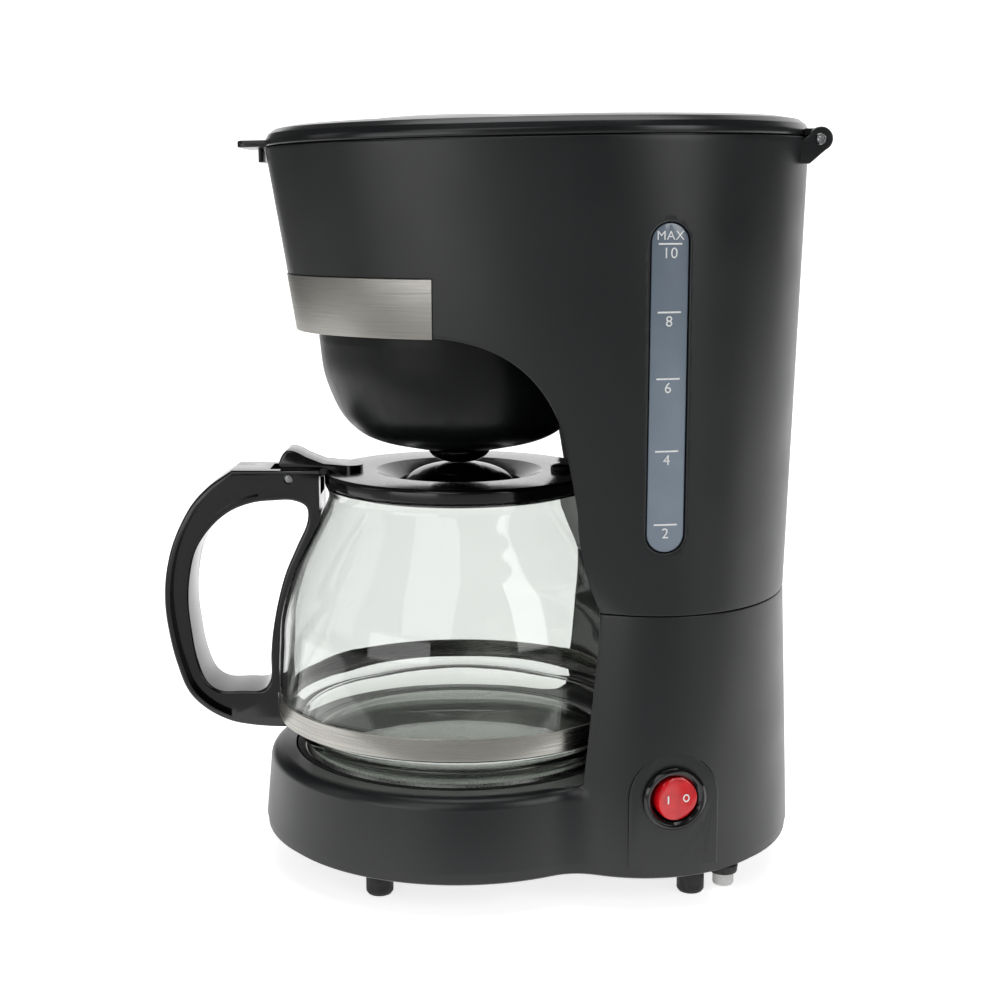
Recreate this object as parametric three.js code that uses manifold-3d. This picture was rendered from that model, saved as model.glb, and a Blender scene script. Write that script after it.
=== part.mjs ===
// Ten-cup drip coffee maker: base with hot plate, rear column with water tank,
// overhanging brew head with a hinged lid, and a glass carafe.
//
// Millimetres, +Z up. The pieces are drawn about the brew axis (x = 0, y = 0),
// with the table at z = 0, the front towards -Y, and the last lines move the
// whole product so that its origin is under the middle of its outline.
import * as THREE from 'three';
import { mergeVertices } from 'three/addons/utils/BufferGeometryUtils.js';
import Module from 'manifold-3d';

const wasm = await Module();
wasm.setup();

// ---------------------------------------------------------------- clearances
const gap = 0.35;              // between two pieces that touch
const slide = 0.6;             // between pieces that move past each other
const through = 6;             // how far a cutting solid runs past a face

// ------------------------------------------------------------- housing sizes
const wall = 2.5;              // moulded housing wall
const coverBottom = 12;        // underside of the bottom cover
const coverThickness = 2.6;
const skirtBottom = 14.6;      // lower edge of the housing above the cover
const deckTop = 45.7;          // top of the round base around the hot plate
const seamZ = 112;             // parting line between lower and upper housing
const ceilingZ = 212;          // underside of the brew head
const rimZ = 281.4;            // middle of the sloping top rim
const rimSlope = 0.019;        // rise of the rim towards the rear
const rimBlend = 40;           // height over which the slope fades in
const tankFloor = 122;

const discBottomRadius = 78.6; // round base at its foot
const discTopRadius = 76.2;    // and where its shoulder starts
const shoulderRadius = 5;      // rounding of the base's top edge
const waistBlend = 9;          // soft join of base and column in plan

const columnFootWidth = 144;   // column oval at the table
const columnFootDepth = 124;
const columnFootCentre = 70;
const columnWaistWidth = 138.4; // column oval at the parting line
const columnWaistDepth = 110;
const columnWaistCentre = 73;
const rimWidth = 160;          // oval at the top rim
const rimCentre = 35;
const rimRear = 133.4;
const rimFront = -73;
const headSquareness = 2.3;    // exponent of the head's front oval

const bayRadius = 84;          // hollow that holds the carafe
const bayFilletRadius = 18;    // its curve into the ceiling, across
const bayFilletHeight = 44;    // and up

// ------------------------------------------------------------- brewing parts
const tankFront = 15;          // rear face of the wall in front of the tank
const bowlRadius = 54.2;
const bowlFlange = 3.3;        // ledge that the bowl hangs by
const chamberRadius = bowlRadius + bowlFlange;
const headFront = chamberRadius + wall + 2.2; // head at the ceiling, ahead of the axis
const headFrontSlope = (-headFront - rimFront) / (rimZ - ceilingZ);
const bowlBottom = 165;
const bowlThickness = 2.2;
const nozzleRadius = 12.5;
const valveTip = 158.85;
const valveTravel = 2.6;
const valveTop = bowlBottom + 1.4;
const basketBottom = valveTop + valveTravel + gap;

// -------------------------------------------------------------- carafe sizes
const glassRadius = 71.6;
const glassWall = 2.2;
const plateTop = 46.1;         // hot plate, just proud of the deck
const plateRadius = glassRadius - 9.6;
const glassBottom = plateTop + gap;
const bandBottom = 58.8;
const bandTop = 67.2;
const bandThickness = 0.7;
const shoulderDrop = 20;       // how far the neck lies inside the body
const neckRadius = glassRadius - shoulderDrop;
const lidOverhang = 1.5;       // lid past the neck
const lidRadius = neckRadius + lidOverhang;
const lidTop = 155.5;
const handleWidth = 25;
const pinY = 5.4 - glassRadius; // carafe lid hinge
const pinZ = lidTop - 2.2;

// ---------------------------------------------------------- details and joints
const hingeY = rimRear + 0.4;   // lid hinge
const hingeZ = rimZ + 0.9;
const eyeRadius = 4.4;
const eyeBore = 2.15;
const hingePinRadius = 1.8;
const hingePinBore = 1.1;
const lugInner = 24.8;         // fixed hinge lug, distances from the middle
const lugOuter = 29.3;
const knuckleInner = 18;
const trimBottom = 211.6;
const trimTop = 232.8;
const trimEnd = -7.8;
const trimThickness = 0.9;
const gaugeY = 75;
const gaugeBottom = 135.6;
const gaugeTop = 252.6;
const gaugeWidth = 14;
const switchY = 80;
const switchZ = 44;
const padX = 69.3;             // flat face round the switch
const padRadius = 17;
const padTurn = 10;            // degrees that the flat face looks to the rear
const bezelRadius = 11.85;
const rockerRadius = 8.3;
const rockerTilt = THREE.MathUtils.degToRad(9);
const footRadius = 5.2;
const footPlaces = [[51.3, -29.7], [48.8, 88.9]];
const plugRadius = 4;
const plugPlace = [50, 101.2];

// ------------------------------------------------------------------ materials
function finish(color, roughness, metalness = 0, opacity = 1) {
  return new THREE.MeshStandardMaterial({
    color, roughness, metalness, opacity, transparent: opacity < 1,
  });
}
const finishes = {
  housing: finish('#26292a', 0.5),
  gloss: finish('#0d0e0f', 0.15),
  steel: finish('#a9a294', 0.3, 1),
  glass: finish('#e6ece8', 0.03, 0, 0.35),
  window: finish('#5b6874', 0.4, 0, 0.8),
  red: finish('#c8202a', 0.35),
  rubber: finish('#1b1c1d', 0.8),
  pale: finish('#b9bab8', 0.7),
  aluminium: finish('#b4b6b8', 0.4, 1),
  plate: finish('#2c2d2e', 0.55, 0.3),
  silicone: finish('#c8c4b8', 0.6),
  mesh: finish('#8a7a4c', 0.5),
};

// --------------------------------------------------------------- solid helpers
// A closed solid from any closed geometry, whichever way round it was drawn.
function solid(geometry) {
  const bare = geometry.index ? geometry.toNonIndexed() : geometry.clone();
  bare.deleteAttribute('normal');
  bare.deleteAttribute('uv');
  const merged = mergeVertices(bare, 1e-4);
  const source = merged.index.array;
  const place = merged.attributes.position;
  const corners = [0, 1, 2].map(() => new THREE.Vector3());
  const kept = [];
  let volume = 0;
  for (let i = 0; i < source.length; i += 3) {
    const [a, b, c] = source.slice(i, i + 3);
    if (a === b || b === c || c === a) continue;
    kept.push(a, b, c);
    [a, b, c].forEach((index, k) => corners[k].fromBufferAttribute(place, index));
    volume += corners[0].dot(corners[1].clone().cross(corners[2]));
  }
  if (volume < 0) kept.reverse();
  return new wasm.Manifold(new wasm.Mesh({
    numProp: 3,
    vertProperties: new Float32Array(place.array),
    triVerts: new Uint32Array(kept),
  }));
}

const union = (...parts) => parts.reduce((all, part) => all.add(part));
const cut = (body, ...tools) => tools.reduce((left, tool) => left.subtract(tool), body);

// Facets round a turned piece, coarser than the finest by one common share.
const fineness = 0.42;
const facets = (finest) => 2 * Math.max(4, Math.round(finest * fineness / 2));

// A turned solid about the vertical axis through (x, y), from [radius, z] pairs.
function turned(profile, segments = 48, x = 0, y = 0) {
  const points = profile.map(([r, z]) => new THREE.Vector2(r, z));
  const geometry = new THREE.LatheGeometry(points, facets(segments));
  return solid(geometry.rotateX(Math.PI / 2).translate(x, y, 0));
}

// An upright cylinder.
function post(radius, z0, z1, x = 0, y = 0, segments = 32) {
  return turned([[0, z0], [radius, z0], [radius, z1], [0, z1]], segments, x, y);
}

// An upright tube.
function ring(outer, inner, z0, z1, x = 0, y = 0, segments = 48) {
  return turned([[inner, z0], [outer, z0], [outer, z1], [inner, z1], [inner, z0]], segments, x, y);
}

// A cylinder along X between x0 and x1.
function crossPin(radius, x0, x1, y, z, segments = 24) {
  const geometry = new THREE.CylinderGeometry(radius, radius, Math.abs(x1 - x0), facets(segments));
  return solid(geometry.rotateZ(Math.PI / 2).translate((x0 + x1) / 2, y, z));
}

function block(x0, x1, y0, y1, z0, z1) {
  const geometry = new THREE.BoxGeometry(x1 - x0, y1 - y0, z1 - z0);
  return solid(geometry.translate((x0 + x1) / 2, (y0 + y1) / 2, (z0 + z1) / 2));
}

// A shape drawn in the side view (y, z), run across from x0 to x1.
function sideExtrusion(shape, x0, x1, curveSegments = 10) {
  const geometry = new THREE.ExtrudeGeometry(shape, {
    depth: x1 - x0, bevelEnabled: false, curveSegments,
  });
  const turn = new THREE.Matrix4().makeBasis(
    new THREE.Vector3(0, 1, 0), new THREE.Vector3(0, 0, 1), new THREE.Vector3(1, 0, 0));
  return solid(geometry.applyMatrix4(turn).translate(x0, 0, 0));
}

// A round bar or tube along a curve.
function bar(curve, radius, steps, sides = 12, bore = 0) {
  const section = new THREE.Shape();
  section.absarc(0, 0, radius, 0, 2 * Math.PI);
  if (bore > 0) {
    const hole = new THREE.Path();
    hole.absarc(0, 0, bore, 0, 2 * Math.PI);
    section.holes.push(hole);
  }
  return solid(new THREE.ExtrudeGeometry(section, {
    steps, extrudePath: curve, bevelEnabled: false, curveSegments: sides,
  }));
}

const smoothPath = (points) => new THREE.CatmullRomCurve3(points.map((p) => new THREE.Vector3(...p)));
const mirror = (part) => part.scale([-1, 1, 1]);

function piece(name, body, material) {
  const data = body.getMesh();
  const geometry = new THREE.BufferGeometry();
  geometry.setAttribute('position', new THREE.BufferAttribute(data.vertProperties, 3));
  geometry.setIndex(new THREE.BufferAttribute(data.triVerts, 1));
  geometry.computeVertexNormals();
  const mesh = new THREE.Mesh(geometry, material.clone());
  mesh.name = name;
  return mesh;
}

// ------------------------------------------------------------ housing outlines
const { lerp, clamp } = THREE.MathUtils;

// The oval outline of column and head at a height: half width, centre, reach to
// the front and to the rear, and squareness of the front half.
function oval(z) {
  if (z <= seamZ) {
    const t = clamp((z - skirtBottom) / (seamZ - skirtBottom), 0, 1);
    const halfDepth = lerp(columnFootDepth, columnWaistDepth, t) / 2;
    return {
      half: lerp(columnFootWidth, columnWaistWidth, t) / 2,
      centre: lerp(columnFootCentre, columnWaistCentre, t),
      front: halfDepth, rear: halfDepth, power: 2,
    };
  }
  const t = (z - seamZ) / (rimZ - seamZ);
  const centre = lerp(columnWaistCentre, rimCentre, t);
  const lean = rimFront + (rimZ - z) * headFrontSlope;
  const under = clamp((ceilingZ - z) / (ceilingZ - seamZ), 0, 1);
  const waistFront = columnWaistCentre - columnWaistDepth / 2;
  const waistLean = rimFront + (rimZ - seamZ) * headFrontSlope;
  const reach = lean + (waistFront - waistLean) * under ** 2;
  const waistRear = columnWaistCentre + columnWaistDepth / 2;
  return {
    half: lerp(columnWaistWidth, rimWidth, t) / 2,
    centre,
    front: centre - reach,
    rear: lerp(waistRear, rimRear, t) - centre,
    power: lerp(headSquareness, 2, under),
  };
}

// A point of the oval in direction angle, drawn in by inset.
function ovalPoint(section, angle, inset) {
  const c = Math.cos(angle);
  const s = Math.sin(angle);
  const power = s < 0 ? section.power : 2;
  const reach = (s < 0 ? section.front : section.rear) - inset;
  const half = section.half - inset;
  return [
    half * Math.sign(c) * Math.abs(c) ** (2 / power),
    section.centre + reach * Math.sign(s) * Math.abs(s) ** (2 / power),
  ];
}

// A solid whose level sections are the oval, each level drawn in by its inset.
// Levels are [z, inset] or [z, inset, scale], and z may follow the sloping rim.
function ovalLoft(levels, segments = 36) {
  const rings = levels.map(([, , scale = 1], k) => new THREE.Vector2(scale, k));
  const profile = [new THREE.Vector2(0, 0), ...rings, new THREE.Vector2(0, levels.length - 1)];
  const geometry = new THREE.LatheGeometry(profile, segments).rotateX(Math.PI / 2);
  const place = geometry.attributes.position;
  for (let i = 0; i < place.count; i += 1) {
    const fraction = Math.hypot(place.getX(i), place.getY(i));
    const [z, inset] = levels[Math.round(place.getZ(i))];
    const angle = Math.atan2(place.getY(i), place.getX(i));
    const section = oval(Math.min(z, rimZ));
    const [x, y] = ovalPoint(section, angle, inset);
    const px = x * fraction;
    const py = section.centre + (y - section.centre) * fraction;
    place.setXYZ(i, px, py, z + rimRise(py, z));
  }
  return solid(geometry);
}

// Height that the sloping rim adds at y, fading out below the rim.
function rimRise(y, z) {
  return rimSlope * (y - rimCentre) * clamp((z - rimZ + rimBlend) / rimBlend, 0, 1);
}

// Shears an already drawn solid so that its level faces follow the rim.
const followRim = (body) => body.warp((v) => {
  v[2] += rimSlope * (v[1] - rimCentre);
});

const steps = (from, to, count) => Array.from(
  { length: count + 1 }, (_, k) => lerp(from, to, k / count));

// Radius of the round base at a height, with its rounded top edge.
function discRadius(z) {
  const start = deckTop - shoulderRadius;
  const straight = lerp(discBottomRadius, discTopRadius,
    clamp((z - skirtBottom) / (start - skirtBottom), 0, 1));
  const up = clamp((z - start) / shoulderRadius, 0, 1);
  return straight - shoulderRadius * (1 - Math.sqrt(1 - up * up));
}

// How far a point lies outside the base: round disc and column oval, joined by
// a soft concave waist.
function baseDistance(x, y, z, inset) {
  const disc = Math.hypot(x, y) - discRadius(z) + inset;
  const section = oval(z);
  const reach = y < section.centre ? section.front : section.rear;
  const q = Math.hypot(x / (section.half - inset), (y - section.centre) / (reach - inset));
  const column = (q - 1) * Math.min(section.half, reach);
  const mix = clamp(0.5 + (column - disc) / (2 * waistBlend), 0, 1);
  return lerp(column, disc, mix) - waistBlend * mix * (1 - mix);
}

const baseMiddle = 35;         // a point that sees the whole base outline

function baseRadius(angle, z, inset) {
  let low = 20;
  let high = 130;
  for (let k = 0; k < 30; k += 1) {
    const r = (low + high) / 2;
    const out = baseDistance(r * Math.cos(angle), baseMiddle + r * Math.sin(angle), z, inset) > 0;
    if (out) high = r;
    else low = r;
  }
  return (low + high) / 2;
}

// A solid that fills the base outline between levels [z, inset].
function baseLoft(levels, segments = 40) {
  const rings = levels.map((_, k) => new THREE.Vector2(1, k));
  const profile = [new THREE.Vector2(0, 0), ...rings, new THREE.Vector2(0, levels.length - 1)];
  const geometry = new THREE.LatheGeometry(profile, segments).rotateX(Math.PI / 2);
  const place = geometry.attributes.position;
  for (let i = 0; i < place.count; i += 1) {
    const fraction = Math.hypot(place.getX(i), place.getY(i));
    const [z, inset] = levels[Math.round(place.getZ(i))];
    const angle = Math.atan2(place.getY(i), place.getX(i));
    const r = fraction < 0.5 ? 0 : baseRadius(angle, z, inset);
    place.setXYZ(i, r * Math.cos(angle), baseMiddle + r * Math.sin(angle), z);
  }
  return solid(geometry);
}

// The hollow for the carafe, grown by a wall: straight up, then a quarter oval
// in to the ceiling.
function bay(grow, bottom, segments = 56) {
  const filletStart = ceilingZ - bayFilletHeight;
  const curve = steps(0, Math.PI / 2, 5).map((a) => [
    bayRadius + grow - bayFilletRadius * (1 - Math.cos(a)),
    filletStart + (bayFilletHeight + grow) * Math.sin(a),
  ]);
  return turned([[0, bottom], [bayRadius + grow, bottom], ...curve,
    [0, ceilingZ + grow]], segments);
}

// ----------------------------------------------------------------- housing
// Where the rear wall of the rim, drawn in by inset, crosses x.
function rearWall(x, inset) {
  const across = x / (rimWidth / 2 - inset);
  return rimCentre + (rimRear - rimCentre - inset) * Math.sqrt(1 - across * across);
}

function hingeLug(x0, x1) {
  const front = rearWall(lugInner, wall);
  const disc = crossPin(eyeRadius, x0, x1, hingeY, hingeZ, 38);
  const web = new THREE.Shape();
  web.moveTo(hingeY - eyeRadius, hingeZ);
  web.lineTo(front, hingeZ - 1.5);
  web.lineTo(front, hingeZ - 9);
  web.lineTo(front + 5, hingeZ - 9);
  web.lineTo(hingeY + eyeRadius * 0.8, hingeZ - eyeRadius * 0.6);
  web.closePath();
  return union(disc, sideExtrusion(web, x0, x1));
}

function gaugeSlot(grow) {
  const r = gaugeWidth / 2 + grow;
  const slot = new THREE.Shape();
  slot.absarc(gaugeY, gaugeTop - gaugeWidth / 2, r, 0, Math.PI);
  slot.absarc(gaugeY, gaugeBottom + gaugeWidth / 2, r, Math.PI, 2 * Math.PI);
  slot.closePath();
  return sideExtrusion(slot, rimWidth / 4, rimWidth, 10);
}

// The part of the head's skin between two insets where the trim runs.
function trimZone(outset, inset, grow) {
  const levels = steps(trimBottom - through, trimTop + grow, 4);
  const outer = ovalLoft(levels.map((z) => [z, -outset]));
  const inner = ovalLoft([trimBottom - 2 * through, ...levels, trimTop + through].map((z) => [z, inset]));
  const front = block(-rimWidth, rimWidth, -rimWidth, trimEnd + grow, trimBottom - grow, trimTop + grow);
  return outer.subtract(inner).intersect(front);
}

function upperHousing() {
  const bottom = seamZ + gap;
  const heights = [bottom, 140, 170, 195, ceilingZ, rimZ - rimBlend, rimZ];
  let body = ovalLoft(heights.map((z) => [z, 0]));
  body = cut(body, bay(0, bottom - through));
  // hollow under the tank
  const underTank = ovalLoft([bottom - through, tankFloor - wall].map((z) => [z, wall]));
  body = cut(body, underTank.subtract(bay(wall, bottom - 2 * through, 48)));
  // water tank: behind the bay wall and behind the filter well
  const hollow = [tankFloor, 140, 170, 195, ceilingZ, rimZ - rimBlend, rimZ, rimZ + through];
  const inside = ovalLoft(hollow.map((z) => [z, wall]));
  const behind = block(-rimWidth, rimWidth, tankFront, 2 * rimWidth, tankFloor, rimZ + 2 * through);
  const lowBehind = block(-rimWidth, rimWidth, -rimWidth, 2 * rimWidth, tankFloor - 1, ceilingZ - wall);
  const well = post(chamberRadius + wall, ceilingZ - wall, rimZ + 3 * through, 0, 0, 48);
  const room = inside.intersect(union(behind, lowBehind));
  const tank = room.subtract(bay(wall, tankFloor - through, 48)).subtract(well);
  body = cut(body, tank);
  // filter well: round at the rear, following the head at the front
  const wellFloor = ceilingZ + wall;
  const front = block(-rimWidth, rimWidth, -rimWidth, tankFront - wall, wellFloor, rimZ + 2 * through);
  const round = post(chamberRadius, wellFloor, rimZ + 2 * through, 0, 0, 48);
  const headInside = ovalLoft([wellFloor, 235, rimZ - rimBlend, rimZ, rimZ + through].map((z) => [z, wall]));
  body = cut(body, headInside.intersect(front), headInside.intersect(round));
  body = cut(body, post(bowlRadius + gap, ceilingZ - through, wellFloor + through, 0, 0, 48));
  // room for the lid's skirt above the inner walls
  body = cut(body, ovalLoft([[rimZ - 8, wall], [rimZ, wall], [rimZ + through, wall]]));
  // notch in the well's rear wall for the water spout
  body = cut(body, block(8 - riserRadius - slide, 8 + riserRadius + slide, tankFront + 10,
    chamberRadius + 2 * wall, riserTop + 2 - riserRadius - slide, rimZ + 2 * through));
  // trim recess and level window
  body = cut(body, trimZone(through, trimThickness + gap, gap), gaugeSlot(0));
  // tank outlets and hinge
  for (const x of [-outletX, outletX]) {
    body = cut(body, post(outletBore, tankFloor - through, tankFloor + through, x, outletY, 16));
  }
  for (const side of [-1, 1]) {
    const [a, b] = [side * (knuckleInner - slide), side * (lugOuter + slide)].sort((p, q) => p - q);
    body = cut(body, crossPin(eyeRadius + slide, a, b, hingeY, hingeZ));
    const lug = side < 0 ? hingeLug(-lugOuter, -lugInner) : hingeLug(lugInner, lugOuter);
    body = union(body, lug);
    body = cut(body, crossPin(eyeBore, side * knuckleInner, side * (lugOuter + through), hingeY, hingeZ));
  }
  return body;
}

const outletX = 16;            // tank outlets, left and right
const outletY = 106;
const outletBore = 4.5;

function switchPad(x0, x1, grow = 0) {
  const r = padRadius + grow;
  const door = new THREE.Shape();
  door.moveTo(switchY + r, skirtBottom);
  door.lineTo(switchY + r, switchZ);
  door.absarc(switchY, switchZ, r, 0, Math.PI);
  door.lineTo(switchY - r, skirtBottom);
  door.closePath();
  return turnWithPad(sideExtrusion(door, x0, x1, 14));
}

// Turns a piece of the switch, drawn facing +X, with the flat face it sits on.
const turnWithPad = (body) => body.translate([-padX, -switchY, 0]).rotate([0, 0, padTurn])
  .translate([padX, switchY, 0]);

const glandX = -26;            // cord outlet, at the rear
const glandZ = 33;
const glandRadius = 5.2;

function rearBore(radius, y0, y1) {
  const geometry = new THREE.CylinderGeometry(radius, radius, y1 - y0, facets(32));
  return solid(geometry.translate(glandX, (y0 + y1) / 2, glandZ));
}

const plateHole = plateRadius + 4;

function lowerHousing() {
  const shoulder = steps(0, Math.PI / 2, 2).map((a) => deckTop - shoulderRadius * (1 - Math.sin(a)));
  const disc = baseLoft([skirtBottom, ...shoulder].map((z) => [z, 0]), 48);
  const column = ovalLoft([deckTop - 2 * wall, seamZ].map((z) => [z, 0]));
  let body = union(disc, column.subtract(bay(0, deckTop)));
  body = cut(body, switchPad(padX, padX + through));
  // inside: base hollow, then the column behind the bay wall
  const baseInside = baseLoft([skirtBottom - through, deckTop - wall].map((z) => [z, wall]));
  const columnInside = ovalLoft([deckTop - 2 * wall, seamZ, seamZ + through].map((z) => [z, wall]));
  body = cut(body, baseInside, columnInside.subtract(bay(wall, 0, 48)));
  body = cut(body, post(plateHole + gap, deckTop - through, deckTop + through, 0, 0, 48));
  // flat face for the switch, its opening, and the cord outlet
  const pad = switchPad(padX - 6, padX).subtract(switchPad(padX - 7, padX - wall, -wall));
  const padBack = switchPad(padX - wall, padX);
  body = union(body, pad.intersect(block(40, 90, 0, 140, skirtBottom, seamZ)), padBack);
  const switchBore = crossPin(switchBody + gap, padX - 3 * wall, padX + through, switchY, switchZ, 40);
  body = cut(body, turnWithPad(switchBore));
  body = cut(body, rearBore(glandRadius + gap, 100, 140));
  return body;
}

const screwRadius = 2.4;
const screwPlaces = [[0, -62], [56, 22], [0, 114]];

function bottomCover() {
  const z1 = coverBottom + coverThickness;
  let body = baseLoft([[coverBottom, wall + 2], [coverBottom + 1, wall + gap], [z1, wall + gap]]);
  for (const [x, y] of footPlaces) {
    for (const side of [-1, 1]) {
      body = cut(body, post(footStem + gap, coverBottom - through, z1 + through, side * x, y, 20));
    }
  }
  for (const side of [-1, 1]) {
    const plugX = side * plugPlace[0];
    body = cut(body, post(plugStem + gap, coverBottom - through, z1 + through, plugX, plugPlace[1], 20));
  }
  for (const [x, y] of allScrews()) {
    body = cut(body, post(screwRadius + gap, coverBottom - through, z1 + through, x, y, 20));
  }
  for (let k = -2; k <= 2; k += 1) {
    body = cut(body, block(k * 9 - 2, k * 9 + 2, -34, 4, coverBottom - through, z1 + through));
  }
  return body;
}

function allScrews() {
  return screwPlaces.flatMap(([x, y]) => (x === 0 ? [[x, y]] : [[x, y], [-x, y]]));
}

const footStem = 3;
const plugStem = 2.6;

// A rubber foot: a round block under the cover and a stem with a head above it.
function foot(x, y) {
  const top = coverBottom - gap;
  const above = coverBottom + coverThickness + gap;
  return turned([
    [0, 0], [footRadius - 1.6, 0], [footRadius - 0.4, 0.6], [footRadius, 2],
    [footRadius, top], [footStem, top], [footStem, above],
    [footStem + 1.4, above], [footStem + 0.6, above + 2.4], [0, above + 2.4],
  ], 28, x, y);
}

function palePlug(x, y) {
  const top = coverBottom - gap;
  const above = coverBottom + coverThickness + gap;
  return turned([
    [0, 3.2], [plugRadius - 0.8, 3.2], [plugRadius, 4], [plugRadius, 8.2],
    [plugRadius + 1.2, 8.2], [plugRadius + 1.6, top],
    [plugStem, top], [plugStem, above], [plugStem + 1, above], [plugStem, above + 2], [0, above + 2],
  ], 28, x, y);
}

// A pan-head screw, driven up from below the cover.
function coverScrew(x, y) {
  const head = coverBottom - gap;
  const tip = coverBottom + 12;
  const crossLong = block(-1.8, 1.8, -0.4, 0.4, head - 3, head - 1.1);
  const cross = union(crossLong, block(-0.4, 0.4, -1.8, 1.8, head - 3, head - 1.1));
  return turned([
    [0, head - 2.1], [2, head - 2.1], [3.6, head - 1], [3.6, head], [screwRadius - 0.5, head],
    [screwRadius - 0.5, tip - 2], [0, tip],
  ], 20).subtract(cross).translate([x, y, 0]);
}

// ------------------------------------------------------------ heating and water
const heaterRadius = 5.2;
const heaterRing = 43;
const heaterZ = plateTop - 3.2 - heaterRadius - gap;

function hotPlate() {
  const r = plateRadius;
  return turned([
    [0, plateTop - 1.6], [r - 3, plateTop - 1.6], [r - 3, plateTop - 3.2], [r + 2.6, plateTop - 3.2],
    [r + 2.6, plateTop - 1.8], [r, plateTop - 1.8], [r - 1.2, plateTop], [9, plateTop],
    [8, plateTop - 0.3], [0, plateTop - 0.3],
  ], 48);
}

function plateSeal() {
  const r = plateRadius + gap;
  const low = plateTop - 3.25;
  return turned([
    [r, plateTop - 1.4], [r + 1, plateTop - 0.3], [plateHole - gap, plateTop - 0.4],
    [plateHole - gap, low], [plateRadius + 3, low], [plateRadius + 3, plateTop - 1.4], [r, plateTop - 1.4],
  ], 48);
}

// The flow-through heater: a horseshoe under the plate, its ends to the rear.
function heaterTube() {
  const open = THREE.MathUtils.degToRad(28);
  const arc = steps(Math.PI / 2 + open, 2.5 * Math.PI - open, 14).map((a) => [
    heaterRing * Math.cos(a), heaterRing * Math.sin(a), heaterZ,
  ]);
  const endX = arc[0][0];
  const path = [[endX, heaterEnd, heaterZ], [endX, 56, heaterZ], ...arc, [-endX, 56, heaterZ],
    [-endX, heaterEnd, heaterZ]];
  return bar(smoothPath(path), heaterRadius, 20, 4, heaterRadius - 1.4);
}

const heaterEnd = bayRadius - 2;
const hoseRadius = 5.4;
const hoseBore = 4;
const hoseBend = bayRadius + wall + hoseRadius + slide; // clear of the bay's wall
const heaterEndX = heaterRing * Math.sin(THREE.MathUtils.degToRad(28));

function waterHose(side) {
  const x = side * heaterEndX;
  const path = smoothPath([
    [x, heaterEnd + gap, heaterZ], [x, hoseBend - 2.5, heaterZ], [x, hoseBend + 6.5, heaterZ + 8],
    [side * (outletX + 1), outletY, 62], [side * outletX, outletY, 85],
    [side * outletX, outletY, tankFloor - wall - 10 - gap],
  ]);
  return bar(path, hoseRadius, 9, 4, hoseBore);
}

// The barb that joins a hose to the tank floor, with its collar inside the tank.
function tankSpout(side) {
  const low = tankFloor - wall - 10;
  const r = outletBore - gap;
  return turned([
    [2.4, low], [r - 0.6, low], [r, low + 3], [r, tankFloor + gap],
    [r + 3, tankFloor + gap], [r + 3, tankFloor + 2.2], [2.4, tankFloor + 2.2], [2.4, low],
  ], 28, side * outletX, outletY);
}

// The one-way valve's cage over the cold outlet.
function checkValve() {
  const low = tankFloor + 2.2 + gap;
  return turned([
    [2.2, low], [6.6, low], [6.6, low + 1.6], [4.8, low + 8], [3.4, low + 8],
    [3.4, low + 2], [2.2, low + 2], [2.2, low],
  ], 24, -outletX, outletY);
}

const riserRadius = 4.4;
const riserTop = rimZ - 15;

// The hot-water riser: up through the tank, then forward over the filter.
function riserTube() {
  const low = tankFloor + 2.2 + gap;
  const path = smoothPath([
    [outletX, outletY, low], [outletX, outletY, 190], [outletX, outletY, riserTop - 14],
    [outletX - 2, outletY - 6, riserTop - 2], [outletX - 6, outletY - 22, riserTop + 2],
    [8, riserFront + 6, riserTop + 2], [8, riserFront, riserTop + 2],
  ]);
  return bar(path, riserRadius, 16, 4, riserRadius - 1.4);
}

const riserFront = chamberRadius + 6.5;

// The spout that carries the water over the well's rear wall.
function waterSpout() {
  const z = riserTop + 2;
  const path = smoothPath([
    [8, riserFront - gap, z], [8, chamberRadius - 6.5, z], [5.5, chamberRadius - 20, z],
    [2.5, 24, z - 1], [0, 12, z - 3], [0, 8, z - 8],
  ]);
  return bar(path, riserRadius, 9, 4, riserRadius - 1.6);
}

function heaterClamp() {
  const z1 = heaterZ - heaterRadius - gap;
  const plate = block(-heaterRing - 9, heaterRing + 9, -7, 7, z1 - 1.6, z1);
  const well = union(plate, post(3.4, z1 - 6, z1 - 1, 0, 0, 20), post(7, z1 - 4, z1, -heaterRing, 0, 20));
  return cut(well, post(1.6, z1 - 8, z1 + 2, 0, 0, 16));
}

function thermostat() {
  const z1 = heaterZ - heaterRadius - 2 * gap - 4;
  const can = post(8, z1 - 7, z1, -heaterRing, 0, 32);
  const blades = union(
    block(-heaterRing - 6, -heaterRing - 4.8, -3, 3, z1 - 12, z1 - 6),
    block(-heaterRing + 4.8, -heaterRing + 6, -3, 3, z1 - 12, z1 - 6));
  return union(can, blades);
}

function thermalFuse() {
  const z = heaterZ - heaterRadius - 2 * gap - 4;
  return solid(new THREE.CapsuleGeometry(2.6, 16, 2, 10).translate(heaterRing - 18, 0, z));
}

// ---------------------------------------------------------------- brew head
function bowlProfile(inset) {
  const r = (radius) => radius - inset;
  const z = (height) => bowlBottom + height;
  return [
    [r(bowlRadius), ceilingZ - 4], [r(bowlRadius - 1.7), z(29.7)], [r(bowlRadius - 4.3), z(21.8)],
    [r(bowlRadius - 8.1), z(13.9)], [r(bowlRadius - 11.8), z(9.4)], [r(bowlRadius - 15.9), z(6)],
    [r(bowlRadius - 22), z(3.2)],
  ];
}

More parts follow.
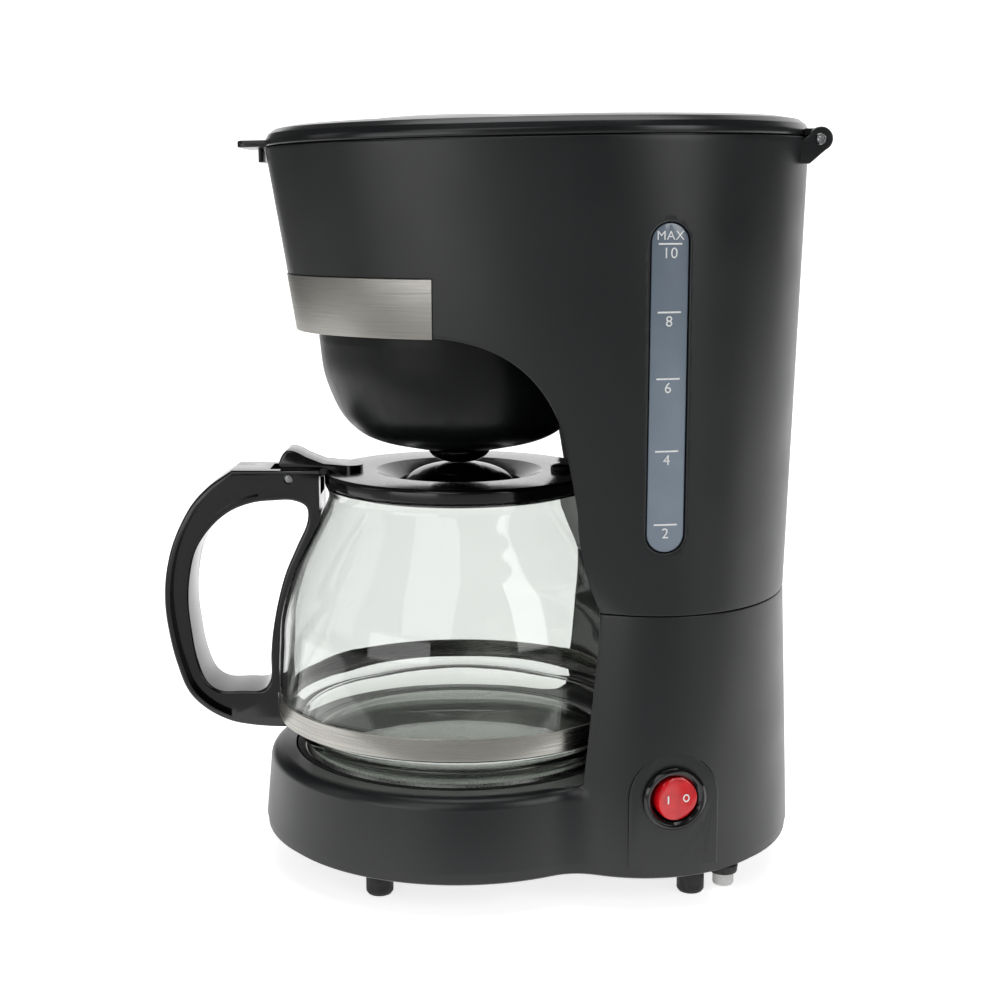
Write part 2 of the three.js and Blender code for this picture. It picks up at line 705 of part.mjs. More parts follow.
function brewBowl() {
  const floor = ceilingZ + wall + gap;
  const outer = bowlProfile(0);
  const inner = bowlProfile(bowlThickness).map(([r, z]) => [r, z + bowlThickness * 0.6]);
  const hole = nozzleRadius + slide;
  return turned([
    [hole, bowlBottom], [nozzleRadius + 6, bowlBottom], ...outer.reverse(),
    [bowlRadius, floor], [chamberRadius - gap, floor], [chamberRadius - gap, floor + 2],
    [bowlRadius - bowlThickness, floor + 2], ...inner,
    [hole, bowlBottom + bowlThickness], [hole, bowlBottom],
  ], 48);
}

const basketTop = rimZ - 19.4;
const basketFlange = ceilingZ + wall + gap + 2 + gap;

function basketProfile(inset) {
  const lift = inset > 0 ? inset : 0;
  const r = (drawnIn) => bowlRadius - drawnIn - inset;
  const z = (height) => bowlBottom + height;
  return [
    [r(30.2), z(6) + lift], [r(20.7), z(9.5) + lift], [r(14.2), z(15) + lift], [r(9.7), z(23) + lift],
    [r(6.8), z(32)], [r(4.6), ceilingZ],
  ];
}

function filterBasket() {
  const outer = basketProfile(0);
  const inner = basketProfile(skin);
  const body = bowlRadius - bowlThickness - 1.4;
  const mouth = basketMouth;
  return turned([
    [stemBore, basketBottom], [14, basketBottom], ...outer, [body, basketFlange],
    [chamberRadius - 1, basketFlange], [chamberRadius - 1, basketFlange + 2], [body + 2, basketFlange + 2],
    [mouth, basketTop], [mouth - skin, basketTop], [body - skin, basketFlange], ...inner.reverse(),
    [12, basketFloor], [stemBore, basketFloor], [stemBore, basketBottom],
  ], 56);
}

const basketFloor = basketBottom + 1.8;
const sealBottom = basketFloor;
const basketMouth = chamberRadius - 3.3;
const skin = 1.8;              // wall of the basket
const stemRadius = 4.6;
const stemBore = stemRadius + slide;

const coneBottom = basketFloor + 2.2 + valveTravel + 2 * gap;

function filterCone() {
  const r = (drawnIn) => basketMouth - drawnIn;
  const low = ceilingZ - 7;
  const high = ceilingZ + 10;
  return turned([
    [0, coneBottom], [20, coneBottom], [r(10.7), low], [r(6.6), high], [r(2.8), basketTop + gap],
    [r(0.2), basketTop + gap], [r(0.2), basketTop + 1.3], [r(3.6), basketTop + 1.3], [r(7.5), high],
    [r(11.6), low + 0.4], [19.4, coneBottom + 1], [0, coneBottom + 1],
  ], 36);
}

function dripValve() {
  const top = valveTop;
  const cupFloor = valveTip + 3.4;
  const dome = steps(0, Math.PI / 2, 6).map((a) => [
    3.8 + (nozzleRadius - 3.8) * Math.sin(a), valveTip + (top - 1.2 - valveTip) * (1 - Math.cos(a)),
  ]);
  return turned([
    [0, valveTip], ...dome, [nozzleRadius, top], [nozzleRadius - 1.6, top],
    [nozzleRadius - 2.6, cupFloor], [stemRadius, cupFloor], [stemRadius, sealBottom],
    [stemRadius - 1.4, sealBottom], [stemRadius - 1.4, sealBottom + 2.2], [0, sealBottom + 2.2],
  ], 40);
}

function valveSeal() {
  return ring(8.6, stemRadius - 1.4 + gap, sealBottom + gap, sealBottom + 2, 0, 0, 32);
}

function valveSpring() {
  return ring(8.4, 6.4, valveTip + 3.4 + gap, basketBottom - gap, 0, 0, 28);
}

// ----------------------------------------------------------------------- lid
const lidLift = gap;           // lid flange above the rim
const lidEdge = 2.4;
const lidCrown = rimZ + 8.6;
const domeRadius = 56;
const domeTop = lidCrown + 3;

function lidCover() {
  const low = rimZ + lidLift;
  const outline = (scaleDown) => [[low, 0 + scaleDown], [low + lidEdge, scaleDown]];
  const outer = ovalLoft([...outline(0), [low + 4.6, 1], [low + 6.4, 3.2], [low + 7.4, 8]]);
  const inner = ovalLoft([
    [low - through, wall + 1.2], [low + 3, wall + 1.2], [low + 5, 10],
  ]);
  const skirt = ovalLoft([[low - 5, wall + slide], [low + 2, wall + slide]]);
  const dome = followRim(turned([
    [0, low + 4], [domeRadius, low + 4], [domeRadius, lidCrown - 2.4], [domeRadius - 8, lidCrown - 0.4],
    [domeRadius - 22, lidCrown + 1.5], [16, domeTop - 0.4], [0, domeTop],
  ], 48));
  let body = cut(union(outer, skirt, dome), inner);
  body = cut(body, followRim(turned([
    [0, low - 1], [domeRadius - 6, low - 1], [domeRadius - 6, lidCrown - 4.6],
    [domeRadius - 24, lidCrown - 1.6], [0, domeTop - 2.6],
  ], 40)));
  // finger tab and its hook, at the front
  const tabBack = rimFront + 6;
  const tab = block(-tabWidth / 2, tabWidth / 2, tabFront, tabBack, low, low + 2.6);
  const hook = block(-9, 9, rimFront - 2.4, rimFront - 0.8, low - 5.4, low + 1);
  body = union(body, followRim(union(tab, hook)));
  // notches for the fixed lugs, then the lid's own knuckles and their bore
  for (const side of [-1, 1]) {
    const place = (inner0, outer0) => (side < 0 ? [-outer0, -inner0] : [inner0, outer0]);
    body = cut(body, crossPin(eyeRadius + slide, ...place(knuckleInner - slide, lugOuter + slide),
      hingeY, hingeZ));
    const [k0, k1] = place(knuckleInner, lugInner - slide);
    const arm = block(k0, k1, hingeY - 9, hingeY, hingeZ + 1.6, hingeZ + 4);
    body = union(body, crossPin(eyeRadius, k0, k1, hingeY, hingeZ, 38), arm);
    body = cut(body, crossPin(eyeBore, ...place(knuckleInner - through, lugOuter), hingeY, hingeZ));
  }
  return body;
}

const tabWidth = 34;
const tabFront = rimFront - 9.4;

// The plate under the lid that keeps the steam over the grounds.
function lidBaffle() {
  const z1 = rimZ - 3;
  let body = union(
    post(40, z1 - 2, z1, 0, 0, 48),
    ring(40, 38.2, z1 - 3.4, z1, 0, 0, 48));
  for (let k = 0; k < 4; k += 1) {
    const a = k * Math.PI / 2 + Math.PI / 4;
    body = union(body, post(3, z1 - 1, lidCrown - 3.2, 25 * Math.cos(a), 25 * Math.sin(a), 14));
  }
  for (let k = 0; k < 8; k += 1) {
    const a = k * Math.PI / 4;
    body = cut(body, post(2, z1 - through, z1 + 2, 14 * Math.cos(a), 14 * Math.sin(a), 12));
  }
  return followRim(body);
}

function hingePin(side) {
  const x0 = side * (knuckleInner + 0.2);
  const x1 = side * (lugOuter + 0.4);
  const pin = crossPin(hingePinRadius, x0, x1, hingeY, hingeZ, 20);
  return pin.subtract(crossPin(hingePinBore, x0 - side * through, x1 + side * through, hingeY, hingeZ, 16));
}

// ------------------------------------------------------------- trim and gauge
function steelTrim() {
  const band = trimZone(0.35, trimThickness, -gap);
  return band;
}

function levelWindow() {
  const levels = steps(gaugeBottom - 4, gaugeTop + 4, 5);
  const outer = ovalLoft(levels.map((z) => [z, 0.8]));
  const inner = ovalLoft([levels[0] - 2, ...levels.slice(1, -1), levels[5] + 2].map((z) => [z, wall + 0.3]));
  return outer.subtract(inner).intersect(gaugeSlot(-gap));
}

// --------------------------------------------------------------------- switch
const switchBody = 9.8;        // barrel behind the bezel
const barrelSide = switchY - switchBody - 3; // its side nearest to the bay
const switchDepth = padX - Math.sqrt((bayRadius + wall + slide) ** 2 - barrelSide ** 2);

function switchCase() {
  const x0 = padX + gap;
  const profile = [
    [rockerRadius + slide, x0 + 1.4], [bezelRadius - 1.4, x0 + 2.2], [bezelRadius, x0 + 1.4],
    [bezelRadius, x0], [switchBody, x0], [switchBody, x0 - switchDepth], [0, x0 - switchDepth],
    [0, x0 - 12], [rockerRadius + slide, x0 - 12],
    [rockerRadius + slide, x0 + 1.4],
  ];
  const points = profile.map(([r, x]) => new THREE.Vector2(r, x));
  const geometry = new THREE.LatheGeometry(points, facets(40));
  return turnWithPad(solid(geometry.rotateZ(-Math.PI / 2).translate(0, switchY, switchZ)));
}

// The rocker, drawn at its off position: the front side stands out.
function switchRocker() {
  const depth = 7;
  const face = padX + gap + 1;
  const body = crossPin(rockerRadius - 0.2, face - depth, face + 2, switchY, switchZ, 36);
  const dish = solid(new THREE.CylinderGeometry(26, 26, 40, 36).rotateX(Math.PI / 2)
    .translate(face + 26 - 0.4, switchY, switchZ));
  const shell = solid(new THREE.SphereGeometry(rockerRadius + 0.25, 16, 8)
    .translate(padX - 3.4, switchY, switchZ));
  const rocker = cut(body, dish).intersect(union(shell, crossPin(rockerRadius - 1.3, face - depth,
    face + 1.4, switchY, switchZ, 32)));
  return turnWithPad(turnAboutSwitch(rocker, rockerTilt));
}

const rockerAxisX = padX - 3.4;

function turnAboutSwitch(body, angle) {
  const degrees = THREE.MathUtils.radToDeg(angle);
  return body.translate([-rockerAxisX, -switchY, 0]).rotate([0, 0, degrees])
    .translate([rockerAxisX, switchY, 0]);
}

function cordGland() {
  const y1 = oval(glandZ).centre + oval(glandZ).rear - 2;
  const flange = y1 - 14;
  const collar = rearBore(glandRadius + 2, flange, flange + 2.4);
  const grommet = union(rearBore(glandRadius, flange, y1 + 1), collar);
  return cut(grommet, rearBore(3.4, flange - through, y1 + through));
}

function terminalBlock() {
  let body = block(-14, 14, 96, 108, 20, 31);
  for (const x of [-9, 0, 9]) body = cut(body, post(2, 25, 40, x, 102, 14));
  return body;
}

// --------------------------------------------------------------------- carafe
function glassSurface(grow) {
  const r = glassRadius + grow;
  const low = glassBottom - grow;
  const foot = steps(0, Math.PI / 2, 3).map((a) => [
    r - 15 + 9 * Math.sin(a), low + 9 * (1 - Math.cos(a)),
  ]);
  const neck = neckRadius + grow;
  const z = (below) => lidTop - below;
  return [...foot, [r - 3.2, bandBottom - 1.4 - grow * 0.3], [r, bandBottom + 2.2], [r + 0.4, bandTop + 10.8],
    [r - 0.9, z(57.5)], [r - 5.6, z(40.5)], [r - 13.4, z(24.5)], [neck + 0.8, z(12.5)], [neck, z(9)],
    [neck + 1, z(6)]];
}

const neckTop = lidTop - 5.6;

function carafeGlass() {
  const outer = glassSurface(0);
  const inner = glassSurface(-glassWall);
  inner[inner.length - 1][1] = neckTop;
  outer[outer.length - 1][1] = neckTop;
  const body = turned([[0, glassBottom + 1.6], [30, glassBottom], ...outer, ...inner.reverse(),
    [0, glassBottom + 1.6 + glassWall]], 60);
  return body.warp((v) => pullLip(v));
}

// Draws the neck out into a pouring lip at the rear.
function pullLip(v) {
  const high = clamp((v[2] - 136) / (neckTop - 136), 0, 1);
  const near = clamp(1 - Math.abs(Math.atan2(v[0], v[1])) / 0.42, 0, 1);
  const pull = lipReach * high * high * near * near * (3 - 2 * near);
  const r = Math.hypot(v[0], v[1]);
  if (r < 10) return;
  v[0] *= 1 + pull / r;
  v[1] *= 1 + pull / r;
}

const lipReach = 10;

function carafeBand() {
  const inner = glassRadius + gap + 0.1;
  return ring(inner + bandThickness, inner, bandBottom, bandTop, 0, 0, 60);
}

// A point of the handle's side view: how far in front of the glass, and height.
const handlePoint = ([out, z]) => new THREE.Vector3(-glassRadius - out, z, 0);

// The bar's outer edge, from the hinge block round to the foot at the band.
function handleOutline(inset) {
  const spline = new THREE.CatmullRomCurve3([
    [16.8, 156.6], [27.1, 149.8], [34.5, 142.1], [41.3, 129.2], [44.8, 116.1], [45.7, 103.8],
    [44.4, 91.4], [41.6, 78.9], [37.2, 67.6], [29.7, 60.5], [20, 55.8], [11.9, 54.1],
    [3.2, 53.3],
  ].map(handlePoint));
  const middle = new THREE.Vector2(-12.4 - glassRadius, 104);
  return spline.getPoints(26).map((p) => {
    const from = new THREE.Vector2(p.x, p.y).sub(middle);
    return from.setLength(from.length() - inset).add(middle);
  });
}

function handleOpening(grow) {
  const path = new THREE.CatmullRomCurve3([
    [-7, 144.7], [1, 144.7], [9, 143.8], [18.6, 140.1], [26.8, 133.2], [32.2, 125.1],
    [34.9, 114.5], [35.7, 103.8], [34.8, 93], [32.7, 80.6], [29, 71.6], [23.8, 68.2],
    [14.4, 68], [6.8, 68.4], [3.6, 72], [3, 83.1], [2.2, 91.4], [-0.1, 103.8], [-3.6, 116.1],
    [-8.2, 126.7], [-12.4, 136.5], [-12, 142.2],
  ].map(handlePoint), true);
  const middle = new THREE.Vector2(-12.4 - glassRadius, 104);
  return path.getPoints(44).slice(0, -1).map((p) => {
    const from = new THREE.Vector2(p.x, p.y).sub(middle);
    return from.setLength(from.length() + grow).add(middle);
  });
}

function carafeHandle() {
  const half = handleWidth / 2;
  const outer = new THREE.Shape([
    new THREE.Vector2(-neckRadius, lidTop + 1),
    ...handleOutline(0),
    new THREE.Vector2(-neckRadius, bandBottom - 5.5),
  ]);
  let body = sideExtrusion(outer, -half, half);
  body = cut(body, sideExtrusion(new THREE.Shape(handleOpening(0)), -half - 1, half + 1));
  // the glass, the band and the open air in front of the neck
  const aboveNeck = [[neckRadius + 3, lidTop + 9], [0, lidTop + 9]];
  body = cut(body, turned([[0, 40], ...glassSurface(gap + 0.1), ...aboveNeck], 60));
  const bandOuter = glassRadius + 2 * gap + bandThickness + 0.1;
  body = cut(body, post(bandOuter, bandBottom - gap, bandTop + gap, 0, 0, 56));
  body = cut(body, block(-handleWidth, handleWidth, -lidRadius - slide * 2, 0, 0, 2 * lidTop));
  // recessed sides inside a rim, with a rib at each end of the bar
  const pocket = new THREE.Shape([...handleOutline(2.2)]);
  const webCut = sideExtrusion(pocket, -half - 1, -half + 4)
    .subtract(sideExtrusion(new THREE.Shape(handleOpening(2.2)), -half - 2, -half + 5))
    .subtract(block(-handleWidth, handleWidth, -glassRadius - 6.4, 0, 0, 2 * lidTop))
    .subtract(block(-handleWidth, handleWidth, -glassRadius - 19.1, 0, 0, bandTop + 5));
  body = cut(body, webCut, mirror(webCut));
  // slot for the lid's tongue and the hinge bore
  body = cut(body, block(-tongue - slide, tongue + slide, pinY - 7.8, 0, pinZ - 7, 2 * lidTop));
  body = cut(body, crossPin(pinRadius + 0.3, -half - 1, half + 1, pinY, pinZ, 20));
  return body;
}

const tongue = 7;
const pinRadius = 1.6;

function lidPin() {
  return crossPin(pinRadius, -handleWidth / 2 + 0.6, handleWidth / 2 - 0.6, pinY, pinZ, 18);
}

function carafeLid() {
  const r = lidRadius;
  const dish = lidRadius - 20.1;
  const skirt = neckRadius - glassWall - 2.8;
  const slot = 24.6;
  const z0 = neckTop + gap;
  let body = turned([
    [slot, lidTop - 6.4], [slot + 2, lidTop - 7.4], [skirt, lidTop - 7.4], [skirt, z0],
    [r, z0], [r, lidTop - 1], [r - 1, lidTop], [dish, lidTop], [dish - 5, lidTop - 2.6],
    [slot, lidTop - 4.6], [slot, lidTop - 6.4],
  ], 48);
  const dome = steps(0, Math.PI / 2, 7).map((a) => [
    21.5 * Math.cos(a), lidTop - 5.4 + (valveTip - gap - lidTop + 5.4) * Math.sin(a),
  ]);
  body = union(body, turned([
    [0, lidTop - 7.4], [21.5, lidTop - 7.4], ...dome,
  ], 40));
  for (let k = 0; k < 4; k += 1) {
    const arm = block(20, slot + 1.5, -2, 2, lidTop - 7.4, lidTop - 5.6);
    body = union(body, arm.rotate([0, 0, 45 + 90 * k]));
  }
  body = union(body, block(-5, 5, lidRadius - 17, lidRadius - 9, lidTop - 1, lidTop + 2.2));
  return cutForHandle(body);
}

function cutForHandle(lid) {
  const lever = new THREE.Shape();
  lever.moveTo(pinY + 22.2, lidTop - 1);
  lever.lineTo(pinY + 18.2, lidTop - 1);
  lever.lineTo(pinY + 14.2, lidTop + 1.4);
  lever.lineTo(pinY - 3.8, lidTop + 1.4);
  lever.lineTo(pinY - 4.3, lidTop + 3);
  lever.quadraticCurveTo(pinY - 2.8, lidTop + 8.3, pinY - 0.3, lidTop + 8.6);
  lever.quadraticCurveTo(pinY + 2.2, lidTop + 8.6, pinY + 6.2, lidTop + 6.1);
  lever.lineTo(pinY + 13.2, lidTop + 3.3);
  lever.lineTo(pinY + 22.2, lidTop + 2.1);
  lever.closePath();
  const tongueShape = new THREE.Shape();
  tongueShape.moveTo(pinY + 16.2, lidTop + 2);
  tongueShape.lineTo(pinY - 3.4, lidTop + 2);
  tongueShape.lineTo(pinY - 3.4, pinZ);
  tongueShape.absarc(pinY, pinZ, 3.4, Math.PI, 1.75 * Math.PI);
  tongueShape.lineTo(pinY + 16.2, lidTop - 1);
  tongueShape.closePath();
  const grip = sideExtrusion(lever, -leverWidth / 2, leverWidth / 2);
  const joint = sideExtrusion(tongueShape, -tongue, tongue);
  const bore = crossPin(pinRadius + 0.35, -tongue - 2, tongue + 2, pinY, pinZ, 20);
  return cut(union(lid, grip, joint), bore);
}

const leverWidth = 18;

// -------------------------------------------------------------------- product
const product = new THREE.Group();
const f = finishes;

product.add(
  piece('upper_housing', upperHousing(), f.housing),
  piece('lower_housing', lowerHousing(), f.housing),
  piece('bottom_cover', bottomCover(), f.housing),
  piece('steel_trim', steelTrim(), f.steel),
  piece('level_window', levelWindow(), f.window),
  piece('brew_bowl', brewBowl(), f.housing),
  piece('filter_basket', filterBasket(), f.housing),
  piece('filter_cone', filterCone(), f.mesh),
  piece('drip_valve', dripValve(), f.gloss),
  piece('valve_seal', valveSeal(), f.silicone),
  piece('valve_spring', valveSpring(), f.steel),
  piece('lid_cover', lidCover(), f.housing),
  piece('lid_baffle', lidBaffle(), f.housing),
  piece('hinge_pin_right', hingePin(1), f.steel),
  piece('hinge_pin_left', hingePin(-1), f.steel),
  piece('hot_plate', hotPlate(), f.plate),
  piece('plate_seal', plateSeal(), f.rubber),
  piece('heater_tube', heaterTube(), f.aluminium),
  piece('heater_clamp', heaterClamp(), f.aluminium),
  piece('thermostat', thermostat(), f.aluminium),
  piece('thermal_fuse', thermalFuse(), f.pale),
  piece('cold_hose', waterHose(-1), f.silicone),
  piece('hot_hose', waterHose(1), f.silicone),
  piece('cold_spout', tankSpout(-1), f.gloss),
  piece('hot_spout', tankSpout(1), f.gloss),
  piece('check_valve', checkValve(), f.silicone),
  piece('riser_tube', riserTube(), f.silicone),
  piece('water_spout', waterSpout(), f.gloss),
  piece('switch_case', switchCase(), f.gloss),
  piece('switch_rocker', switchRocker(), f.red),
  piece('cord_gland', cordGland(), f.rubber),
  piece('terminal_block', terminalBlock(), f.pale),
  piece('carafe_glass', carafeGlass(), f.glass),
  piece('carafe_band', carafeBand(), f.steel),
  piece('carafe_handle', carafeHandle(), f.gloss),
  piece('carafe_lid', carafeLid(), f.gloss),
  piece('carafe_lid_pin', lidPin(), f.steel),
);

const corners = { front: footPlaces[0], rear: footPlaces[1] };
for (const [end, [x, y]] of Object.entries(corners)) {
  product.add(
    piece(`foot_${end}_right`, foot(x, y), f.rubber),
    piece(`foot_${end}_left`, foot(-x, y), f.rubber),
  );
}
product.add(
  piece('pale_plug_right', palePlug(plugPlace[0], plugPlace[1]), f.pale),
  piece('pale_plug_left', palePlug(-plugPlace[0], plugPlace[1]), f.pale),
);
allScrews().forEach(([x, y], k) => {
  product.add(piece(`cover_screw_${k + 1}`, coverScrew(x, y), f.steel));
});

// The origin goes under the middle of the outline.
const box = new THREE.Box3().setFromObject(product);
const middle = box.getCenter(new THREE.Vector3());
product.position.set(-middle.x, -middle.y, 0);

export default product;
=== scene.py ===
from math import acos, asin, atan2, copysign, cos, hypot, pi, radians, sin, sqrt, tan
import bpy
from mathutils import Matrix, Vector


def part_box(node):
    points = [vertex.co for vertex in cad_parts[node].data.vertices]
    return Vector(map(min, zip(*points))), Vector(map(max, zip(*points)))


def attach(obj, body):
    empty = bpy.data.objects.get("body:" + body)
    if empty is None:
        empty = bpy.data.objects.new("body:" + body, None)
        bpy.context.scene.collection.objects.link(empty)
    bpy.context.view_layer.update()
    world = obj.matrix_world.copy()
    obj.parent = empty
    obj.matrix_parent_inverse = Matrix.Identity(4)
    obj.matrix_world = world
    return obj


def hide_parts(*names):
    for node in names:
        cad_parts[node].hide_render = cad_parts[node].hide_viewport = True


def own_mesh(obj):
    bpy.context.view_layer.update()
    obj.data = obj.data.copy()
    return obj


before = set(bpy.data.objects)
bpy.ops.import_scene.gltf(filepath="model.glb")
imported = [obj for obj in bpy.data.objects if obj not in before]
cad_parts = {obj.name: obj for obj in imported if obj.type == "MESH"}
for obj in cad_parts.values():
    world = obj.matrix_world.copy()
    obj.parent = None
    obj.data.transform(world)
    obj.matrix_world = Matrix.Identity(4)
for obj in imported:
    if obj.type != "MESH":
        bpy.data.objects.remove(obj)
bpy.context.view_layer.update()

from types import SimpleNamespace

import bmesh
import bpy
from bpy.props import FloatProperty, FloatVectorProperty, PointerProperty
from mathutils import Vector

bl_info = {
    "name": "Drip Coffee Maker",
    "version": (1, 0, 0),
    "blender": (4, 5, 0),
    "location": "View3D > Sidebar > Coffee",
    "description": "Builds a ten-cup drip coffee maker, piece by piece",
    "category": "Object",
}

MM = 0.001
THROUGH = 6.0  # how far a cutting solid runs past a face, in millimetres
TURN = 2 * pi
RIM_SLOPE = 0.019  # how much the rim rises for its run to the rear
RIM_BLEND = 40.0  # the height over which the slope fades out below the rim, in millimetres
SEAM_EDGE = 0.4  # the rounding at the seam and the rim, in millimetres


# ------------------------------------------------------------------ properties
def length(label, text, value):
    """A size that shows in the panel in the scene's length unit."""
    return FloatProperty(name=label, description=text, default=value, subtype="DISTANCE", unit="LENGTH")


def linear(code):
    """Linear RGBA of an sRGB hex colour."""
    parts = [int(code[i : i + 2], 16) / 255 for i in (1, 3, 5)]
    return tuple(c / 12.92 if c <= 0.04045 else ((c + 0.055) / 1.055) ** 2.4 for c in parts) + (1.0,)


def colour(label, text, code):
    """A colour that shows in the panel, from its sRGB hex value."""
    return FloatVectorProperty(
        name=label, description=text, subtype="COLOR", size=4, min=0, max=1, default=linear(code)
    )


class CoffeeHousingSizes(bpy.types.PropertyGroup):
    """Sizes of the housing, measured about the brew axis"""

    rim: length("Rim height", "Middle of the sloping top rim", 0.2814)
    rim_width: length("Rim width", "Width across the top rim", 0.160)
    rim_centre: length("Rim centre", "Middle of the rim's oval behind the brew axis", 0.035)
    rim_rear: length("Rim rear", "Rear end of the rim behind the brew axis", 0.1334)
    rim_front: length("Rim front", "Front end of the rim, ahead of the brew axis", -0.073)
    head_front: length("Head front", "Front of the head at its underside", 0.0622)
    ceiling: length("Ceiling height", "Underside of the brew head", 0.212)
    seam: length("Seam height", "Parting line between the housings", 0.112)
    skirt: length("Skirt height", "Lower edge of the housing", 0.0146)
    deck: length("Deck height", "Top of the round base", 0.0457)
    wall: length("Wall", "Thickness of the moulded wall", 0.0025)
    foot_width: length("Column foot width", "Width of the column at the table", 0.144)
    foot_depth: length("Column foot depth", "Depth of the column at the table", 0.124)
    foot_centre: length("Column foot centre", "Middle of the column at the table", 0.070)
    waist_width: length("Column waist width", "Width of the column at the seam", 0.1384)
    waist_depth: length("Column waist depth", "Depth of the column at the seam", 0.110)
    waist_centre: length("Column waist centre", "Middle of the column at the seam", 0.073)
    disc_bottom: length("Base radius at foot", "Radius of the round base at its foot", 0.0786)
    disc_top: length("Base radius at shoulder", "Radius of the round base at its shoulder", 0.0762)
    shoulder: length("Shoulder radius", "Rounding of the base's top edge", 0.005)
    bay: length("Bay radius", "Radius of the hollow for the carafe", 0.0822)
    bay_fillet: length("Bay fillet across", "How far the hollow draws in at the ceiling", 0.0162)
    bay_foot: length("Bay foot fillet", "Rounding between the hollow's wall and the deck", 0.008)
    bay_rise: length("Bay fillet height", "How far up the hollow starts to draw in", 0.044)
    edge: length("Edge rounding", "Rounding of the hollow's outer edges", 0.0016)
    tank_floor: length("Tank floor height", "Top of the water tank's floor", 0.122)
    tank_front: length("Tank front", "Front of the tank behind the brew axis", 0.015)


class CoffeeDetailSizes(bpy.types.PropertyGroup):
    """Sizes of the trim, the level window, the switch, the lid and the feet"""

    trim_bottom: length("Trim bottom", "Lower edge of the steel trim", 0.2116)
    trim_top: length("Trim top", "Upper edge of the steel trim", 0.2328)
    trim_end: length("Trim end", "Where the trim stops on each side", -0.0078)
    gauge_y: length("Window centre", "Middle of the level window behind the axis", 0.075)
    gauge_bottom: length("Window bottom", "Lower end of the level window", 0.1356)
    gauge_top: length("Window top", "Upper end of the level window", 0.2526)
    gauge_width: length("Window width", "Width of the level window", 0.014)
    switch_y: length("Switch centre", "Middle of the switch behind the axis", 0.080)
    switch_z: length("Switch height", "Height of the middle of the switch", 0.044)
    pad_x: length("Pad face", "Flat face round the switch, from the middle", 0.0693)
    pad_radius: length("Pad radius", "Radius of the flat face round the switch", 0.017)
    bezel: length("Bezel radius", "Radius of the ring round the rocker", 0.01185)
    rocker: length("Rocker radius", "Radius of the switch rocker", 0.0083)
    hinge_y: length("Hinge axis", "Lid hinge behind the brew axis", 0.1338)
    hinge_z: length("Hinge height", "Height of the lid hinge", 0.2823)
    eye: length("Hinge eye", "Radius of the hinge's eyes", 0.0044)
    lid_crown: length("Lid crown", "Height of the raised part of the lid", 0.290)
    dome: length("Lid dome radius", "Radius of the raised part of the lid", 0.056)
    tab_width: length("Tab width", "Width of the lid's finger tab", 0.034)


class CoffeeBrewSizes(bpy.types.PropertyGroup):
    """Sizes of the brew bowl, the filter and the drip valve"""

    bowl: length("Bowl radius", "Outer radius of the brew bowl", 0.0542)
    bowl_flange: length("Bowl flange", "Ledge that the bowl hangs by", 0.0033)
    bowl_bottom: length("Bowl bottom", "Underside of the brew bowl", 0.165)
    nozzle: length("Nozzle radius", "Radius of the drip valve at the bowl", 0.0125)
    valve_tip: length("Valve tip", "Lowest point of the drip valve", 0.15885)
    plate_top: length("Plate height", "Top of the hot plate", 0.0461)
    plate: length("Plate radius", "Radius of the hot plate", 0.062)


class CoffeeCarafeSizes(bpy.types.PropertyGroup):
    """Sizes of the carafe"""

    glass: length("Glass radius", "Widest radius of the carafe", 0.0716)
    glass_wall: length("Glass wall", "Thickness of the glass", 0.0022)
    glass_bottom: length("Glass bottom", "Underside of the carafe", 0.04645)
    neck: length("Neck radius", "Radius of the carafe's neck", 0.0516)
    lid: length("Carafe lid radius", "Radius of the carafe's lid", 0.0531)
    lid_top: length("Carafe lid height", "Top of the carafe lid's ring", 0.1555)
    band_bottom: length("Band bottom", "Lower edge of the steel band", 0.0588)
    band_top: length("Band top", "Upper edge of the steel band", 0.0672)
    handle_width: length("Handle width", "Width of the handle", 0.025)
    lip: length("Pouring lip", "How far the lip is drawn out", 0.010)


class CoffeeFinishes(bpy.types.PropertyGroup):
    """Colours of the finishes"""

    housing: colour("Housing", "Spark-textured ABS of the housing", "#17191b")
    lid: colour("Lid", "Matt ABS of the lid", "#16181a")
    gloss: colour("Gloss black", "Polished phenolic of the carafe fittings", "#060707")
    bowl: colour("Bowl", "Semi-matt polypropylene of the brew bowl", "#0a0c0d")
    steel: colour("Steel", "Brushed stainless steel", "#b4b2ac")
    window: colour("Window", "Tinted polystyrene of the level window", "#8391a0")
    rocker: colour("Rocker", "Translucent red polycarbonate", "#e0101c")
    glass: colour("Glass", "Borosilicate glass", "#e6e8e6")
    plate: colour("Plate", "Metallic coating of the hot plate", "#a2a3a1")
    rubber: colour("Rubber", "Black rubber of the feet", "#0d0d0e")
    pale: colour("Pale plug", "Pale rubber plug", "#c4c5c3")


PROPERTY_GROUPS = {
    "coffee_housing": CoffeeHousingSizes,
    "coffee_detail": CoffeeDetailSizes,
    "coffee_brew": CoffeeBrewSizes,
    "coffee_carafe": CoffeeCarafeSizes,
    "coffee_finish": CoffeeFinishes,
}

# Every size in millimetres, for the shape functions below.
mm = SimpleNamespace()


